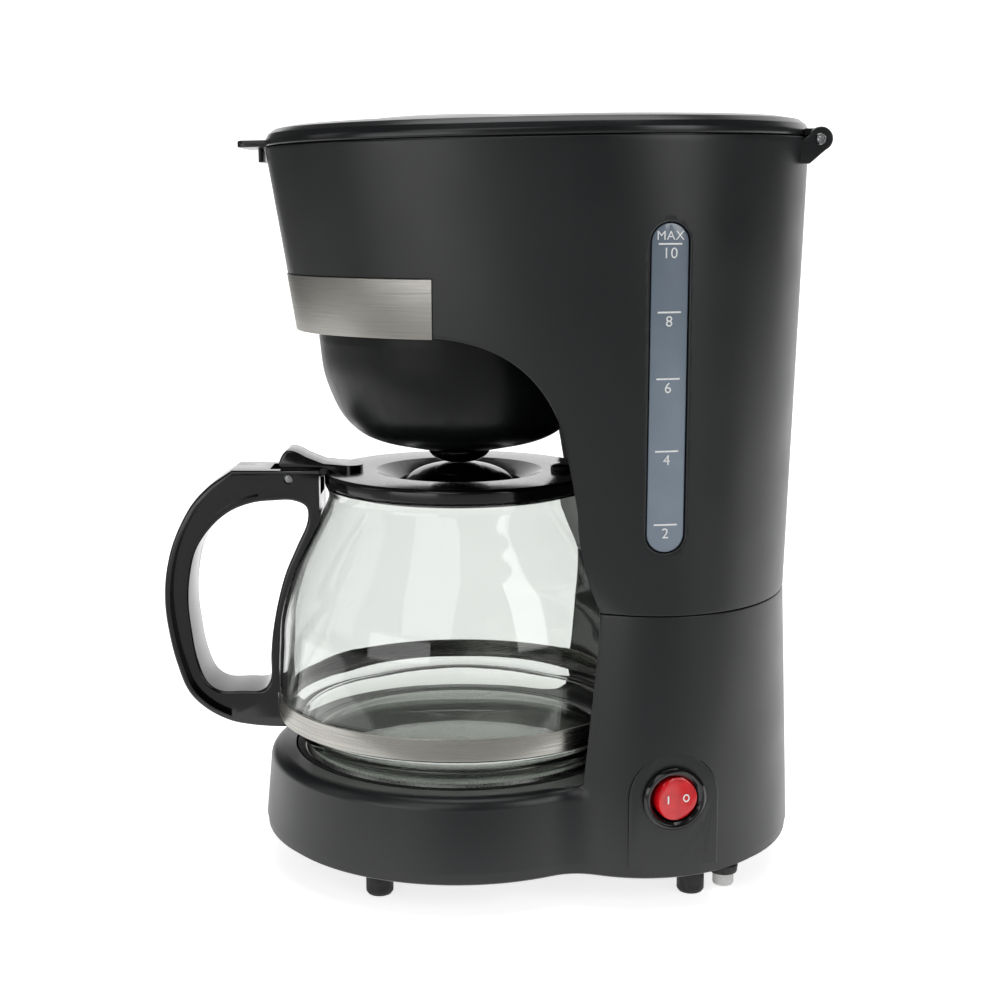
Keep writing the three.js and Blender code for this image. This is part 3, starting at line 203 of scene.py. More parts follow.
def take_sizes(context):
    """Copies the panel's sizes into mm and works out the ones that follow from them."""
    for group in ("coffee_housing", "coffee_detail", "coffee_brew", "coffee_carafe"):
        values = getattr(context.scene, group)
        for key in values.bl_rna.properties.keys():
            if key not in ("rna_type", "name"):
                setattr(mm, key, getattr(values, key) / MM)
    low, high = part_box("drip_valve")
    mm.axis_y = (low.y + high.y) / 2 / MM
    mm.gap = 0.35
    mm.slide = 0.6
    mm.front_slope = (-mm.head_front - mm.rim_front) / (mm.rim - mm.ceiling)
    mm.chamber = mm.bowl + mm.bowl_flange
    mm.plate_hole = mm.plate + 4
    mm.low_lid = mm.rim + mm.gap
    mm.valve_top = mm.bowl_bottom + 1.4
    mm.basket_bottom = mm.valve_top + 2.6 + mm.gap
    mm.basket_top = mm.rim - 19.4
    mm.neck_top = mm.lid_top - 5.6
    mm.pin_y = 5.4 - mm.glass
    mm.pin_z = mm.lid_top - 2.2
    mm.riser_z = mm.rim - 13
    mm.hinge_room = (17.4, 29.9)
    mm.lug = (24.8, 29.3)
    mm.lid_eye = (18, 24.2)
    mm.pin_span = (18.2, 29.7)
    mm.pin_bore = 2.15
    low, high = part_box("cord_gland")
    mm.gland_x, mm.gland_z = (low.x + high.x) / 2 / MM, (low.z + high.z) / 2 / MM


# --------------------------------------------------------------- small helpers
def clamp(value, low=0.0, high=1.0):
    """value, held between low and high."""
    return max(low, min(high, value))


def lerp(a, b, t):
    """The point a share t of the way from a to b."""
    return a + (b - a) * t


def steps(low, high, count):
    """count + 1 even steps from low to high."""
    return [lerp(low, high, k / count) for k in range(count + 1)]


def to_side(side, near, far):
    """The span from near to far of the middle, in rising order, on the side that side's sign gives."""
    return sorted((side * near, side * far))


def mirrored(rows):
    """Whole loops from rows that run down the right side only, from front to rear."""
    return [row + [Vector((-p.x, p.y, p.z)) for p in reversed(row[1:-1])] for row in rows]


def to_middle(rows, ends=(0, -1)):
    """Brings the ends of each row on to the middle plane."""
    for row in rows:
        for k in ends:
            row[k].x = 0.0


def direction(p, centre=0.0):
    """The direction of a point seen from (0, centre), held to the right-hand half."""
    if p.x > 1e-6:
        return atan2(p.y - centre, p.x)
    return copysign(pi / 2, p.y - centre)


def resampled(places, keys, count):
    """keys at count + 1 even distances along the points in places."""
    run = [0.0]
    for a, b in zip(places, places[1:]):
        run.append(run[-1] + (b - a).length)
    out = []
    k = 0
    for target in steps(0, run[-1], count):
        while k < len(run) - 2 and run[k + 1] < target:
            k += 1
        t = clamp((target - run[k]) / max(run[k + 1] - run[k], 1e-9))
        out.append(tuple(lerp(a, b, t) for a, b in zip(keys[k], keys[k + 1])))
    return out


def spline(points, count, closed=False):
    """A centripetal Catmull-Rom curve through flat points, as count + 1 points (count when closed)."""
    pts = [Vector(p) for p in points]
    if closed:
        pts = [pts[-1]] + pts + [pts[0], pts[1]]
    else:
        pts = [pts[0] * 2 - pts[1]] + pts + [pts[-1] * 2 - pts[-2]]
    spans = len(pts) - 3
    out = []
    for j in range(count if closed else count + 1):
        place = j / count * spans
        k = min(int(place), spans - 1)
        p0, p1, p2, p3 = pts[k : k + 4]
        t0 = 0.0
        t1 = t0 + max((p1 - p0).length, 1e-6) ** 0.5
        t2 = t1 + max((p2 - p1).length, 1e-6) ** 0.5
        t3 = t2 + max((p3 - p2).length, 1e-6) ** 0.5
        t = lerp(t1, t2, place - k)
        a1 = p0 * ((t1 - t) / (t1 - t0)) + p1 * ((t - t0) / (t1 - t0))
        a2 = p1 * ((t2 - t) / (t2 - t1)) + p2 * ((t - t1) / (t2 - t1))
        a3 = p2 * ((t3 - t) / (t3 - t2)) + p3 * ((t - t2) / (t3 - t2))
        b1 = a1 * ((t2 - t) / (t2 - t0)) + a2 * ((t - t0) / (t2 - t0))
        b2 = a2 * ((t3 - t) / (t3 - t1)) + a3 * ((t - t1) / (t3 - t1))
        out.append(b1 * ((t2 - t) / (t2 - t1)) + b2 * ((t - t1) / (t2 - t1)))
    return out


def rounded(points, radius, closed=False, arc=5):
    """The flat line with an arc of that radius in place of each corner."""
    pts = [Vector(p) for p in points]
    count = len(pts)
    out = []
    for k, p in enumerate(pts):
        if not closed and k in (0, count - 1):
            out.append(p)
            continue
        back = pts[k - 1] - p
        ahead = pts[(k + 1) % count] - p
        if back.length < 1e-6 or ahead.length < 1e-6:
            continue
        turn = pi - back.angle(ahead)
        if turn < 0.12 or turn > 3.1:
            out.append(p)
            continue
        cut = min(radius * tan(turn / 2), 0.47 * back.length, 0.47 * ahead.length)
        start = p + back.normalized() * cut
        end = p + ahead.normalized() * cut
        out.extend(start * (1 - t) ** 2 + p * 2 * t * (1 - t) + end * t * t for t in steps(0, 1, arc))
    return out


def grown(outline, amount):
    """A closed flat outline, moved outward by amount."""
    area = sum(a.x * b.y - b.x * a.y for a, b in zip(outline, outline[1:] + outline[:1]))
    side = 1 if area > 0 else -1
    out = []
    for k, p in enumerate(outline):
        before = p - outline[k - 1]
        after = outline[(k + 1) % len(outline)] - p
        n0 = Vector((before.y, -before.x)).normalized() * side
        n1 = Vector((after.y, -after.x)).normalized() * side
        mid = n0 + n1
        out.append(p + mid * (amount / max(1 + n0.dot(n1), 0.4)))
    return out


class Shell:
    """Patches of surface, in millimetres about the brew axis, that become one mesh."""

    def __init__(self):
        self.points = []
        self.faces = []

    def row(self, points):
        """Adds points and returns their numbers."""
        start = len(self.points)
        self.points.extend(points)
        return list(range(start, len(self.points)))

    def patch(self, rows, loop=True):
        """Skins rows that have the same number of points."""
        grid = [self.row(row) for row in rows]
        count = len(rows[0])
        for low, high in zip(grid, grid[1:]):
            for k in range(count if loop else count - 1):
                n = (k + 1) % count
                self.faces.append((low[k], low[n], high[n], high[k]))
        return self

    def fan(self, row, centre):
        """Closes a loop with triangles to its centre."""
        ring = self.row(row)
        middle = self.row([centre])[0]
        for k in range(len(ring)):
            self.faces.append((ring[k], ring[(k + 1) % len(ring)], middle))
        return self

    def cap(self, row):
        """Closes a loop with one flat face."""
        self.faces.append(tuple(self.row(row)))
        return self

    def warp(self, change):
        """Moves each point by a function."""
        self.points = [change(Vector(p)) for p in self.points]
        return self

    def build(self, name):
        """The mesh object, closed where the patches meet."""
        mesh = bpy.data.meshes.new(name)
        work = bmesh.new()
        made = [work.verts.new((p[0] * MM, (p[1] + mm.axis_y) * MM, p[2] * MM)) for p in self.points]
        for face in self.faces:
            work.faces.new([made[k] for k in face])
        bmesh.ops.remove_doubles(work, verts=work.verts, dist=2e-6)
        bmesh.ops.dissolve_degenerate(work, edges=work.edges, dist=1e-7)
        bmesh.ops.recalc_face_normals(work, faces=work.faces)
        work.to_mesh(mesh)
        work.free()
        made = bpy.data.objects.new(name, mesh)
        bpy.context.scene.collection.objects.link(made)
        return made


def on_circle(radius, angle, z, x=0.0, y=0.0):
    """The point at that direction and height on a circle about the upright axis through (x, y)."""
    return Vector((x + radius * cos(angle), y + radius * sin(angle), z))


def turned(profile, segments=128, x=0.0, y=0.0):
    """A shell turned about the upright axis through (x, y), from points of radius and height."""
    around = [TURN * k / segments for k in range(segments)]
    shell = Shell()
    for (r0, z0), (r1, z1) in zip(profile, profile[1:]):
        if r0 > 1e-6 or r1 > 1e-6:
            shell.patch([[on_circle(r, a, z, x, y) for a in around] for r, z in ((r0, z0), (r1, z1))])
    return shell


def ring_of(profile, segments=128, x=0.0, y=0.0):
    """A turned shell whose profile is closed."""
    return turned(list(profile) + [profile[0]], segments, x, y)


def crosswise(shell, y, z):
    """Lays an upright shell, drawn about the origin, along X at (y, z)."""
    return shell.warp(lambda p: Vector((p.z, p.y + y, -p.x + z)))


def stacked(outline, x0, x1, turns):
    """A plate with that outline in the side view (y, z). Each of turns says how far the outline
    has grown at a depth below either face."""
    rows = [[Vector((x0 + depth, p.x, p.y)) for p in grown(outline, grow)] for grow, depth in turns]
    rows += [[Vector((x1 - depth, p.x, p.y)) for p in grown(outline, grow)] for grow, depth in turns[::-1]]
    return Shell().patch(rows).cap(rows[0]).cap(rows[-1])


def slab(outline, x0, x1, edge=0.0, arc=4):
    """A plate with that outline in the side view, its rims rounded by edge."""
    turns = [(0.0, 0.0)]
    if edge:
        turns = [(-edge * (1 - sin(a)), edge * (1 - cos(a))) for a in steps(0, pi / 2, arc)]
    return stacked(outline, x0, x1, turns)


def block(x0, x1, y0, y1, z0, z1, edge=0.0):
    """A box, with its upright and cross edges rounded."""
    outline = [Vector(p) for p in ((y0, z0), (y1, z0), (y1, z1), (y0, z1))]
    if edge:
        outline = rounded(outline, edge, closed=True)
    return slab(outline, x0, x1, edge)


def tube(points, radius, bore, count, sides=20):
    """A pipe along a smooth curve."""
    path = spline([Vector(p) for p in points], count)
    frames = []
    side = Vector((1, 0, 0))
    for k, p in enumerate(path):
        ahead = (path[min(k + 1, count)] - path[max(k - 1, 0)]).normalized()
        side = (side - ahead * side.dot(ahead)).normalized()
        frames.append((p, side.copy(), ahead.cross(side)))
    around = [TURN * k / sides for k in range(sides)]

    def rings(r):
        return [[p + u * (r * cos(a)) + v * (r * sin(a)) for a in around] for p, u, v in frames]

    outer = rings(radius)
    if not bore:
        shell = Shell().patch(outer)
        return shell.cap(outer[0]).cap(outer[-1])
    inner = rings(bore)
    return Shell().patch(outer + inner[::-1] + outer[:1])


def carve(body, *tools, operation="DIFFERENCE"):
    """Cuts the tools out of body, or joins them to it, and removes them."""
    for tool in tools:
        step = body.modifiers.new("carve", "BOOLEAN")
        step.operation = operation
        step.object = tool
        step.solver = "MANIFOLD"
        bpy.context.view_layer.update()
        graph = bpy.context.evaluated_depsgraph_get()
        result = bpy.data.meshes.new_from_object(body.evaluated_get(graph))
        if not result.vertices:
            raise RuntimeError(f"nothing is left of {body.name} after {tool.name}")
        body.modifiers.clear()
        body.data = result
        bpy.data.objects.remove(tool)
    return body


def join(body, *tools):
    """Joins the tools to body as one solid."""
    return carve(body, *tools, operation="UNION")


def piece(made, name, material, body, nodes=(), crease=38):
    """Finishes an object: name, material, smooth shading, its body, and the solids it stands for."""
    made.name = name
    mesh = made.data
    if isinstance(mesh, bpy.types.Mesh):
        mesh.materials.clear()
        mesh.materials.append(bpy.data.materials[material])
        mesh.polygons.foreach_set("material_index", [0] * len(mesh.polygons))
        mesh.shade_smooth()
        mesh.set_sharp_from_angle(angle=radians(crease))
        mesh.update()
    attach(made, body)
    if nodes:
        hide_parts(*nodes)
    return made


# ---------------------------------------------------------------- outline rules
def oval(z):
    """Half width, centre, reach to the front, reach to the rear and front squareness at height z."""
    if z <= mm.seam:
        t = clamp((z - mm.skirt) / (mm.seam - mm.skirt))
        deep = lerp(mm.foot_depth, mm.waist_depth, t) / 2
        wide = lerp(mm.foot_width, mm.waist_width, t) / 2
        return wide, lerp(mm.foot_centre, mm.waist_centre, t), deep, deep, 2.0
    t = (z - mm.seam) / (mm.rim - mm.seam)
    centre = lerp(mm.waist_centre, mm.rim_centre, t)
    lean = mm.rim_front + (mm.rim - z) * mm.front_slope
    under = clamp((mm.ceiling - z) / (mm.ceiling - mm.seam))
    waist_front = mm.waist_centre - mm.waist_depth / 2
    waist_lean = mm.rim_front + (mm.rim - mm.seam) * mm.front_slope
    reach = lean + (waist_front - waist_lean) * under**2
    rear = lerp(mm.waist_centre + mm.waist_depth / 2, mm.rim_rear, t)
    half = lerp(mm.waist_width, mm.rim_width, t) / 2
    return half, centre, centre - reach, rear - centre, lerp(2.3, 2.0, under)


def oval_xy(z, angle, inset=0.0):
    """The outline's point in a direction, at height z, drawn in by inset."""
    half, centre, front, rear, power = oval(min(z, mm.rim))
    c = cos(angle)
    s = sin(angle)
    grade = 2 / (power if s < 0 else 2.0)
    reach = (front if s < 0 else rear) - inset
    x = (half - inset) * copysign(abs(c) ** grade, c)
    return x, centre + reach * copysign(abs(s) ** grade, s)


def rim_rise(y, z):
    """How much the sloping rim adds to a height z at y: all of it at the rim, none lower down."""
    return RIM_SLOPE * (y - mm.rim_centre) * clamp((z - mm.rim + RIM_BLEND) / RIM_BLEND)


def skin(angle, z, inset=0.0):
    """A point of the column's and head's outer skin."""
    x, y = oval_xy(z, angle, inset)
    return Vector((x, y, z + rim_rise(y, z)))


def skin_angle(x, y, z):
    """The direction whose outline point at height z is nearest to (x, y)."""
    half, centre, front, rear, power = oval(min(z, mm.rim))
    power = power if y < centre else 2.0
    reach = front if y < centre else rear
    c = copysign(abs(x / half) ** (power / 2), x)
    s = copysign(abs((y - centre) / reach) ** (power / 2), y - centre)
    return atan2(s, c)


def side_x(y, z, inset=0.0):
    """How far out the right-hand skin is at (y, z)."""
    half, centre, front, rear, power = oval(min(z, mm.rim))
    power = power if y < centre else 2.0
    reach = (front if y < centre else rear) - inset
    return (half - inset) * max(0.0, 1 - abs((y - centre) / reach) ** power) ** (1 / power)


def bay_radius(z):
    """Radius of the carafe's hollow at height z."""
    up = clamp((z - mm.ceiling + mm.bay_rise) / mm.bay_rise)
    down = clamp((mm.deck + mm.bay_foot - z) / mm.bay_foot)
    drawn = mm.bay_fillet * (1 - sqrt(1 - up * up)) + mm.bay_foot * (1 - sqrt(1 - down * down))
    return mm.bay - drawn


def bay_edge(z):
    """The direction in which the outer skin meets the carafe's hollow at height z."""
    low, high = -pi / 2, 0.0
    for _ in range(44):
        middle = (low + high) / 2
        if hypot(*oval_xy(z, middle)) < bay_radius(z):
            low = middle
        else:
            high = middle
    return (low + high) / 2


def across(tangent, normal, away):
    """The direction in a surface square to an edge, on the side that away points from."""
    d = normal.cross(tangent).normalized()
    return -d if d.dot(away) > 0 else d


def tangents(points):
    """The direction of a line at each of its points."""
    last = len(points) - 1
    return [(points[min(k + 1, last)] - points[max(k - 1, 0)]).normalized() for k in range(last + 1)]


def rolls(outer, corner, inner, count=6):
    """Rows that round the edge from one surface's setback to the other's."""
    rows = []
    for t in steps(0, 1, count)[1:-1]:
        near, middle, far = (1 - t) ** 2, 2 * t * (1 - t), t * t
        rows.append([a * near + c * middle + b * far for a, c, b in zip(outer, corner, inner)])
    return rows


def loft(levels, segments=160):
    """A closed solid of the oval outline through levels of (height, inset)."""
    rows = []
    for z, inset in levels:
        rows.append([skin(TURN * k / segments, z, inset) for k in range(segments)])
    shell = Shell().patch(rows)
    for row in (rows[0], rows[-1]):
        middle = sum(row, Vector()) / len(row)
        shell.fan(row, middle)
    return shell


def follow_rim(shell):
    """Shears a level shell so that it follows the sloping rim."""
    return shell.warp(lambda p: Vector((p.x, p.y, p.z + RIM_SLOPE * (p.y - mm.rim_centre))))


def bay_solid(grow, bottom, segments=128):
    """The carafe's hollow as a solid, grown by a wall."""
    start = mm.ceiling - mm.bay_rise
    profile = [(0, bottom), (mm.bay + grow, bottom)]
    for a in steps(0, pi / 2, 14):
        r = mm.bay + grow - mm.bay_fillet * (1 - cos(a))
        profile.append((r, start + (mm.bay_rise + grow) * sin(a)))
    return turned(profile + [(0, mm.ceiling + grow)], segments)


def post(radius, z0, z1, x=0.0, y=0.0, segments=64):
    """An upright cylinder."""
    return turned([(0, z0), (radius, z0), (radius, z1), (0, z1)], segments, x, y)


def bar(radius, x0, x1, y, z, edge=0.0, bore=0.0, segments=64):
    """A cylinder along X, with rounded rims and an optional bore."""
    if bore:
        profile = rounded([(bore, x0), (radius, x0), (radius, x1), (bore, x1)], edge, closed=True, arc=3)
        return crosswise(ring_of(profile, segments), y, z)
    profile = rounded([(0, x0), (radius, x0), (radius, x1), (0, x1)], edge, arc=3)
    return crosswise(turned(profile, segments), y, z)


# --------------------------------------------------------------------- housing
def upper_block():
    """The head and column above the seam as one solid, with the carafe's hollow and rounded edges."""
    low = mm.seam + mm.gap
    start = mm.ceiling - mm.bay_rise
    keys = [(a, mm.ceiling) for a in steps(-pi / 2, bay_edge(mm.ceiling), 60)]
    for a in steps(pi / 2, 0, 90)[1:]:
        z = start + mm.bay_rise * sin(a)
        keys.append((bay_edge(z), z))
    keys += [(bay_edge(z), z) for z in steps(start, low, 60)[1:]]
    rear = [(a, low) for a in steps(keys[-1][0], pi / 2, 90)]
    on_bay = resampled([skin(*k) for k in keys], keys, 150)
    on_seam = resampled([skin(*k) for k in rear], rear, 90)
    loop = on_bay + on_seam[1:]
    corner = [skin(*k) for k in loop]
    turn_at = len(on_bay) - 1
    along = tangents(corner)
    outer, inner = [], []
    for k, (p, (angle, z)) in enumerate(zip(corner, loop)):
        slope = skin(angle, z + 0.2) - skin(angle, z - 0.2)
        out_normal = (skin(angle + 0.004, z) - skin(angle - 0.004, z)).cross(slope).normalized()
        rise = Vector((0, 0, 1))
        if k <= turn_at:
            flat = Vector((p.x, p.y, 0)).normalized()
            up = clamp((p.z - start) / mm.bay_rise)
            lean = asin(up)
            hollow = -flat * cos(lean) * mm.bay_rise - rise * sin(lean) * mm.bay_fillet
            hollow.normalize()
            t = along[k] if k < turn_at else tangents(corner[: turn_at + 1])[-1]
            b = across(t, out_normal, hollow)
            d = across(t, hollow, out_normal)
            outer.append(p + b * mm.edge + (rise * SEAM_EDGE if k == turn_at else Vector()))
            inner.append(p + d * mm.edge)
        else:
            flat = Vector((out_normal.x, out_normal.y, 0)).normalized()
            outer.append(p + slope.normalized() * SEAM_EDGE)
            inner.append(p - flat * SEAM_EDGE)
    rim_keys = [lerp(-pi / 2, 0.35, k / turn_at) for k in range(turn_at + 1)]
    rest = len(loop) - 1 - turn_at
    rim_keys += [lerp(0.35, pi / 2, k / rest) for k in range(1, rest + 1)]
    starts = [(skin_angle(p.x, p.y, p.z), p.z) for p in outer]
    top = mm.rim - SEAM_EDGE
    rows = [outer]
    for v in steps(0, 1, 84)[1:]:
        rows.append([skin(lerp(a0, a1, v), lerp(z0, top, v)) for (a0, z0), a1 in zip(starts, rim_keys)])
    for a in steps(0, pi / 2, 3)[1:]:
        rows.append([skin(a1, top + SEAM_EDGE * sin(a), SEAM_EDGE * (1 - cos(a))) for a1 in rim_keys])
    for inset in (3.0, 12.0):
        rows.append([skin(a1, mm.rim, inset) for a1 in rim_keys])
    # the hollow for the carafe: points by direction and run along its section
    fillet_run = 40.0

    def hollow_point(angle, s):
        wall_run = start - low
        if s <= wall_run:
            r, z = mm.bay, low + s
        elif s <= wall_run + fillet_run:
            a = (s - wall_run) / fillet_run * pi / 2
            r = mm.bay - mm.bay_fillet * (1 - cos(a))
            z = start + mm.bay_rise * sin(a)
        else:
            r, z = mm.bay - mm.bay_fillet - (s - wall_run - fillet_run), mm.ceiling
        return on_circle(r, angle, z)

    def hollow_run(p):
        if p.z <= start:
            return p.z - low
        if p.z < mm.ceiling - 1e-4:
            return start - low + fillet_run * asin((p.z - start) / mm.bay_rise) / (pi / 2)
        r = hypot(p.x, p.y)
        return start - low + fillet_run + mm.bay - mm.bay_fillet - r

    turn_angle = atan2(inner[turn_at].y, inner[turn_at].x)
    arc = [on_circle(mm.bay, a, low) for a in steps(turn_angle, pi / 2, rest)]
    inner[turn_at] = arc[0].copy()
    outline = inner[: turn_at + 1] + arc[1:]
    rounding = rolls(outer, corner, inner)
    ends = [lerp(-pi / 2, 1.05, k / turn_at) for k in range(turn_at + 1)]
    ends += [lerp(1.05, pi / 2, k / rest) for k in range(1, rest + 1)]
    full_run = start - low + fillet_run + mm.bay - mm.bay_fillet - (mm.bowl + 2)
    hollow_rows = [outline]
    for v in steps(0, 1, 60)[1:]:
        row = []
        for p, end in zip(outline, ends):
            row.append(hollow_point(lerp(direction(p), end, v), lerp(hollow_run(p), full_run, v)))
        hollow_rows.append(row)
    crescent = [[lerp(a, b, v) for a, b in zip(inner[turn_at:], arc)] for v in steps(0, 1, 5)]
    to_middle(rows + rounding + hollow_rows + [corner, inner])
    to_middle(crescent, (-1,))
    shell = Shell()
    shell.patch(mirrored(rows))
    shell.fan(mirrored(rows)[-1], Vector((0, mm.rim_centre, mm.rim)))
    shell.patch(mirrored([outer] + rounding + [inner]))
    shell.patch(mirrored(hollow_rows))
    shell.fan(mirrored(hollow_rows)[-1], Vector((0, 0, mm.ceiling)))
    shell.patch(crescent, loop=False)
    shell.patch([[Vector((-p.x, p.y, p.z)) for p in row] for row in crescent], loop=False)
    return shell.build("upper_block")


def window_outline(grow, count=28):
    """The level window's outline in the side view, grown by an amount."""
    r = mm.gauge_width / 2
    reach = r + grow

    def end(z, start):
        turns = steps(start, start + pi, count)
        return [Vector((mm.gauge_y + reach * cos(a), z + reach * sin(a))) for a in turns]

    top = end(mm.gauge_top - r, 0)
    bottom = end(mm.gauge_bottom + r, pi)
    sides = steps(0, 1, 24)[1:-1]
    foot = Vector((mm.gauge_y - r - grow, mm.gauge_bottom + r))
    front = [lerp(top[-1], foot, t) for t in sides]
    return top + front + bottom + [lerp(bottom[-1], top[0], t) for t in sides]


def side_stack(levels):
    """A solid on the right-hand skin through levels of (window outline growth, depth below the skin)."""
    rows = []
    for grow, depth in levels:
        rows.append([Vector((side_x(p.x, p.y, depth), p.x, p.y)) for p in window_outline(grow)])
    shell = Shell().patch(rows)
    for row, depth in ((rows[0], levels[0][1]), (rows[-1], levels[-1][1])):
        shell.patch([row, [Vector((side_x(mm.gauge_y, p.z, depth), mm.gauge_y, p.z)) for p in row]])
    return shell


def trim_solid(outset, inset, bottom, top, end, edge=0.0):
    """The strip of the head's skin that the trim covers, from outset proud of it to inset below it."""
    section = [(-outset, bottom), (-outset, top), (inset, top), (inset, bottom)]
    section = rounded(section, edge, closed=True) if edge else [Vector(p) for p in section]
    rows = []
    for depth, z in section + section[:1]:
        _, centre, front, _, power = oval(z)
        turn = -asin(((centre - end) / (front - depth)) ** (power / 2))
        rows.append([skin(a, z, depth) for a in steps(-pi - turn, turn, 200)])
    shell = Shell().patch(rows, loop=False)
    shell.cap([row[0] for row in rows[:-1]])
    shell.cap([row[-1] for row in rows[:-1]])
    return shell


def hinge_lug(x0, x1):
    """A fixed eye of the lid hinge, with its web into the rear wall."""
    share = mm.lug[0] / (mm.rim_width / 2 - mm.wall)
    front = mm.rim_centre + (mm.rim_rear - mm.rim_centre - mm.wall) * sqrt(1 - share**2)
    z = mm.hinge_z
    web = [(mm.hinge_y - mm.eye, z + 1.2), (front, z - 1.2), (front, z - 9), (front + 4, z - 9)]
    web += [(mm.hinge_y + mm.eye * 0.75, z - mm.eye * 0.62)]
    made = bar(mm.eye, x0, x1, mm.hinge_y, z, 0.5).build("eye")
    return join(made, slab(rounded(web, 0.8, closed=True), x0, x1, 0.4).build("web"))


def water_tank_tool():
    """The hollow of the water tank and of the space beside the filter well."""
    levels = steps(mm.tank_floor, mm.rim, 16) + [mm.rim + THROUGH]
    tank = loft([(z, mm.wall) for z in levels]).build("tank")
    wide = 2 * mm.rim_width
    behind = block(-wide, wide, mm.tank_front, wide, mm.tank_floor - 1, mm.rim + 2 * THROUGH).build("behind")
    lower = block(-wide, wide, -wide, wide, mm.tank_floor - 2, mm.ceiling - mm.wall).build("lower")
    carve(tank, join(behind, lower), operation="INTERSECT")
    well = post(mm.chamber + mm.wall, mm.ceiling - mm.wall - 1, mm.rim + 3 * THROUGH, segments=128)
    return carve(tank, bay_solid(mm.wall, mm.tank_floor - THROUGH).build("bay"), well.build("well"))


def filter_well_tool():
    """The hollow that the filter basket drops into."""
    floor = mm.ceiling + mm.wall
    levels = [floor, 235, mm.rim - 40, mm.rim, mm.rim + THROUGH]
    wide = 2 * mm.rim_width
    head = loft([(z, mm.wall) for z in levels]).build("head")
    front = block(-wide, wide, -wide, mm.tank_front - mm.wall, floor - 1, mm.rim + 2 * THROUGH).build("front")
    round_part = post(mm.chamber, floor - 2, mm.rim + 2 * THROUGH, segments=128).build("round")
    return carve(head, join(front, round_part), operation="INTERSECT")


class COFFEE_OT_upper_housing(bpy.types.Operator):
    """Builds the upper housing: brew head, column and water tank in one moulding"""

    bl_idname = "coffee.upper_housing"
    bl_label = "Upper housing"

    def execute(self, context):
        take_sizes(context)
        body = upper_block()
        under = loft([(mm.seam - THROUGH, mm.wall), (mm.tank_floor - mm.wall, mm.wall)]).build("under")
        carve(under, bay_solid(mm.wall, mm.seam - 2 * THROUGH).build("bay"))
        carve(body, under, water_tank_tool(), filter_well_tool())
        hole = post(mm.bowl + mm.gap, mm.ceiling - THROUGH, mm.ceiling + mm.wall + THROUGH, segments=128)
        carve(body, hole.build("hole"))
        lid_room = loft([(mm.rim + z, mm.wall) for z in (-8, -4, 0, THROUGH)])
        carve(body, lid_room.build("lid_room"))
        notch = block(3, 13, mm.tank_front + 10, mm.chamber + 2 * mm.wall, mm.riser_z - 5, mm.rim + 9)
        carve(body, notch.build("notch"))
        low, high = mm.trim_bottom - THROUGH, mm.trim_top + mm.gap
        recess = trim_solid(THROUGH, 1.25, low, high, mm.trim_end + mm.gap)
        carve(body, recess.build("recess"))
        slot = side_stack([(0.9, -4), (0.9, -0.05), (0.55, 0.12), (0.22, 0.42), (0, 0.9), (0, mm.wall + 4)])
        carve(body, slot.build("slot"))
        for x in (-16, 16):
            carve(body, post(4.5, mm.tank_floor - THROUGH, mm.tank_floor + THROUGH, x, 106).build("outlet"))
        for side in (-1, 1):
            on_hinge = (mm.hinge_y, mm.hinge_z)
            carve(body, bar(mm.eye + mm.slide, *to_side(side, *mm.hinge_room), *on_hinge).build("room"))
            join(body, hinge_lug(*to_side(side, *mm.lug)))
            carve(body, bar(mm.pin_bore, *to_side(side, 18, 35), *on_hinge).build("bore"))
        piece(body, "upper_housing_shell", "moulded_abs_charcoal", "body", ["upper_housing"])
        return {"FINISHED"}


# ------------------------------------------------------------------ lower part
def disc_radius(z):
    """Radius of the round base at height z, with its rounded top edge."""
    start = mm.deck - mm.shoulder
    straight = lerp(mm.disc_bottom, mm.disc_top, clamp((z - mm.skirt) / (start - mm.skirt)))
    up = clamp((z - start) / mm.shoulder)
    return straight - mm.shoulder * (1 - sqrt(1 - up * up))


BASE_EYE = 35.0  # a point on the middle line that sees the whole outline of the base
SKIRT_EDGE = 0.6  # the rounding of the skirt's lower edge, in millimetres


def base_distance(x, y, z, inset):
    """How far (x, y) lies outside the base, a disc and an oval joined by a soft waist."""
    half, centre, front, rear, _ = oval(z)
    reach = (front if y < centre else rear) - inset
    q = hypot(x / (half - inset), (y - centre) / reach)
    column = (q - 1) * min(half, front if y < centre else rear)
    if z > mm.deck + 1e-6:
        return column
    disc = hypot(x, y) - disc_radius(z) + inset
    mix = clamp(0.5 + (column - disc) / 18)
    return lerp(column, disc, mix) - 9 * mix * (1 - mix)


def base_radius(angle, z, inset=0.0):
    """How far the base reaches from its eye point in a direction."""
    low, high = 20.0, 130.0
    c = cos(angle)
    s = sin(angle)
    for _ in range(32):
        r = (low + high) / 2
        if base_distance(r * c, BASE_EYE + r * s, z, inset) > 0:
            high = r
        else:
            low = r
    return (low + high) / 2


def base_point(angle, run):
    """A point of the lower housing's outer skin, by direction and run up its side."""
    straight = mm.deck - mm.shoulder - mm.skirt
    arc = mm.shoulder * pi / 2
    if run <= straight:
        z = mm.skirt + run
    elif run <= straight + arc:
        z = mm.deck - mm.shoulder + mm.shoulder * sin((run - straight) / mm.shoulder)
    else:
        z = mm.deck + run - straight - arc
    return on_circle(base_radius(angle, z), angle, z, 0, BASE_EYE)


def base_run(z):
    """The run up the lower housing's side at height z."""
    straight = mm.deck - mm.shoulder - mm.skirt
    if z <= mm.deck - mm.shoulder:
        return z - mm.skirt
    if z <= mm.deck:
        return straight + mm.shoulder * asin(clamp((z - mm.deck + mm.shoulder) / mm.shoulder))
    return straight + mm.shoulder * pi / 2 + z - mm.deck


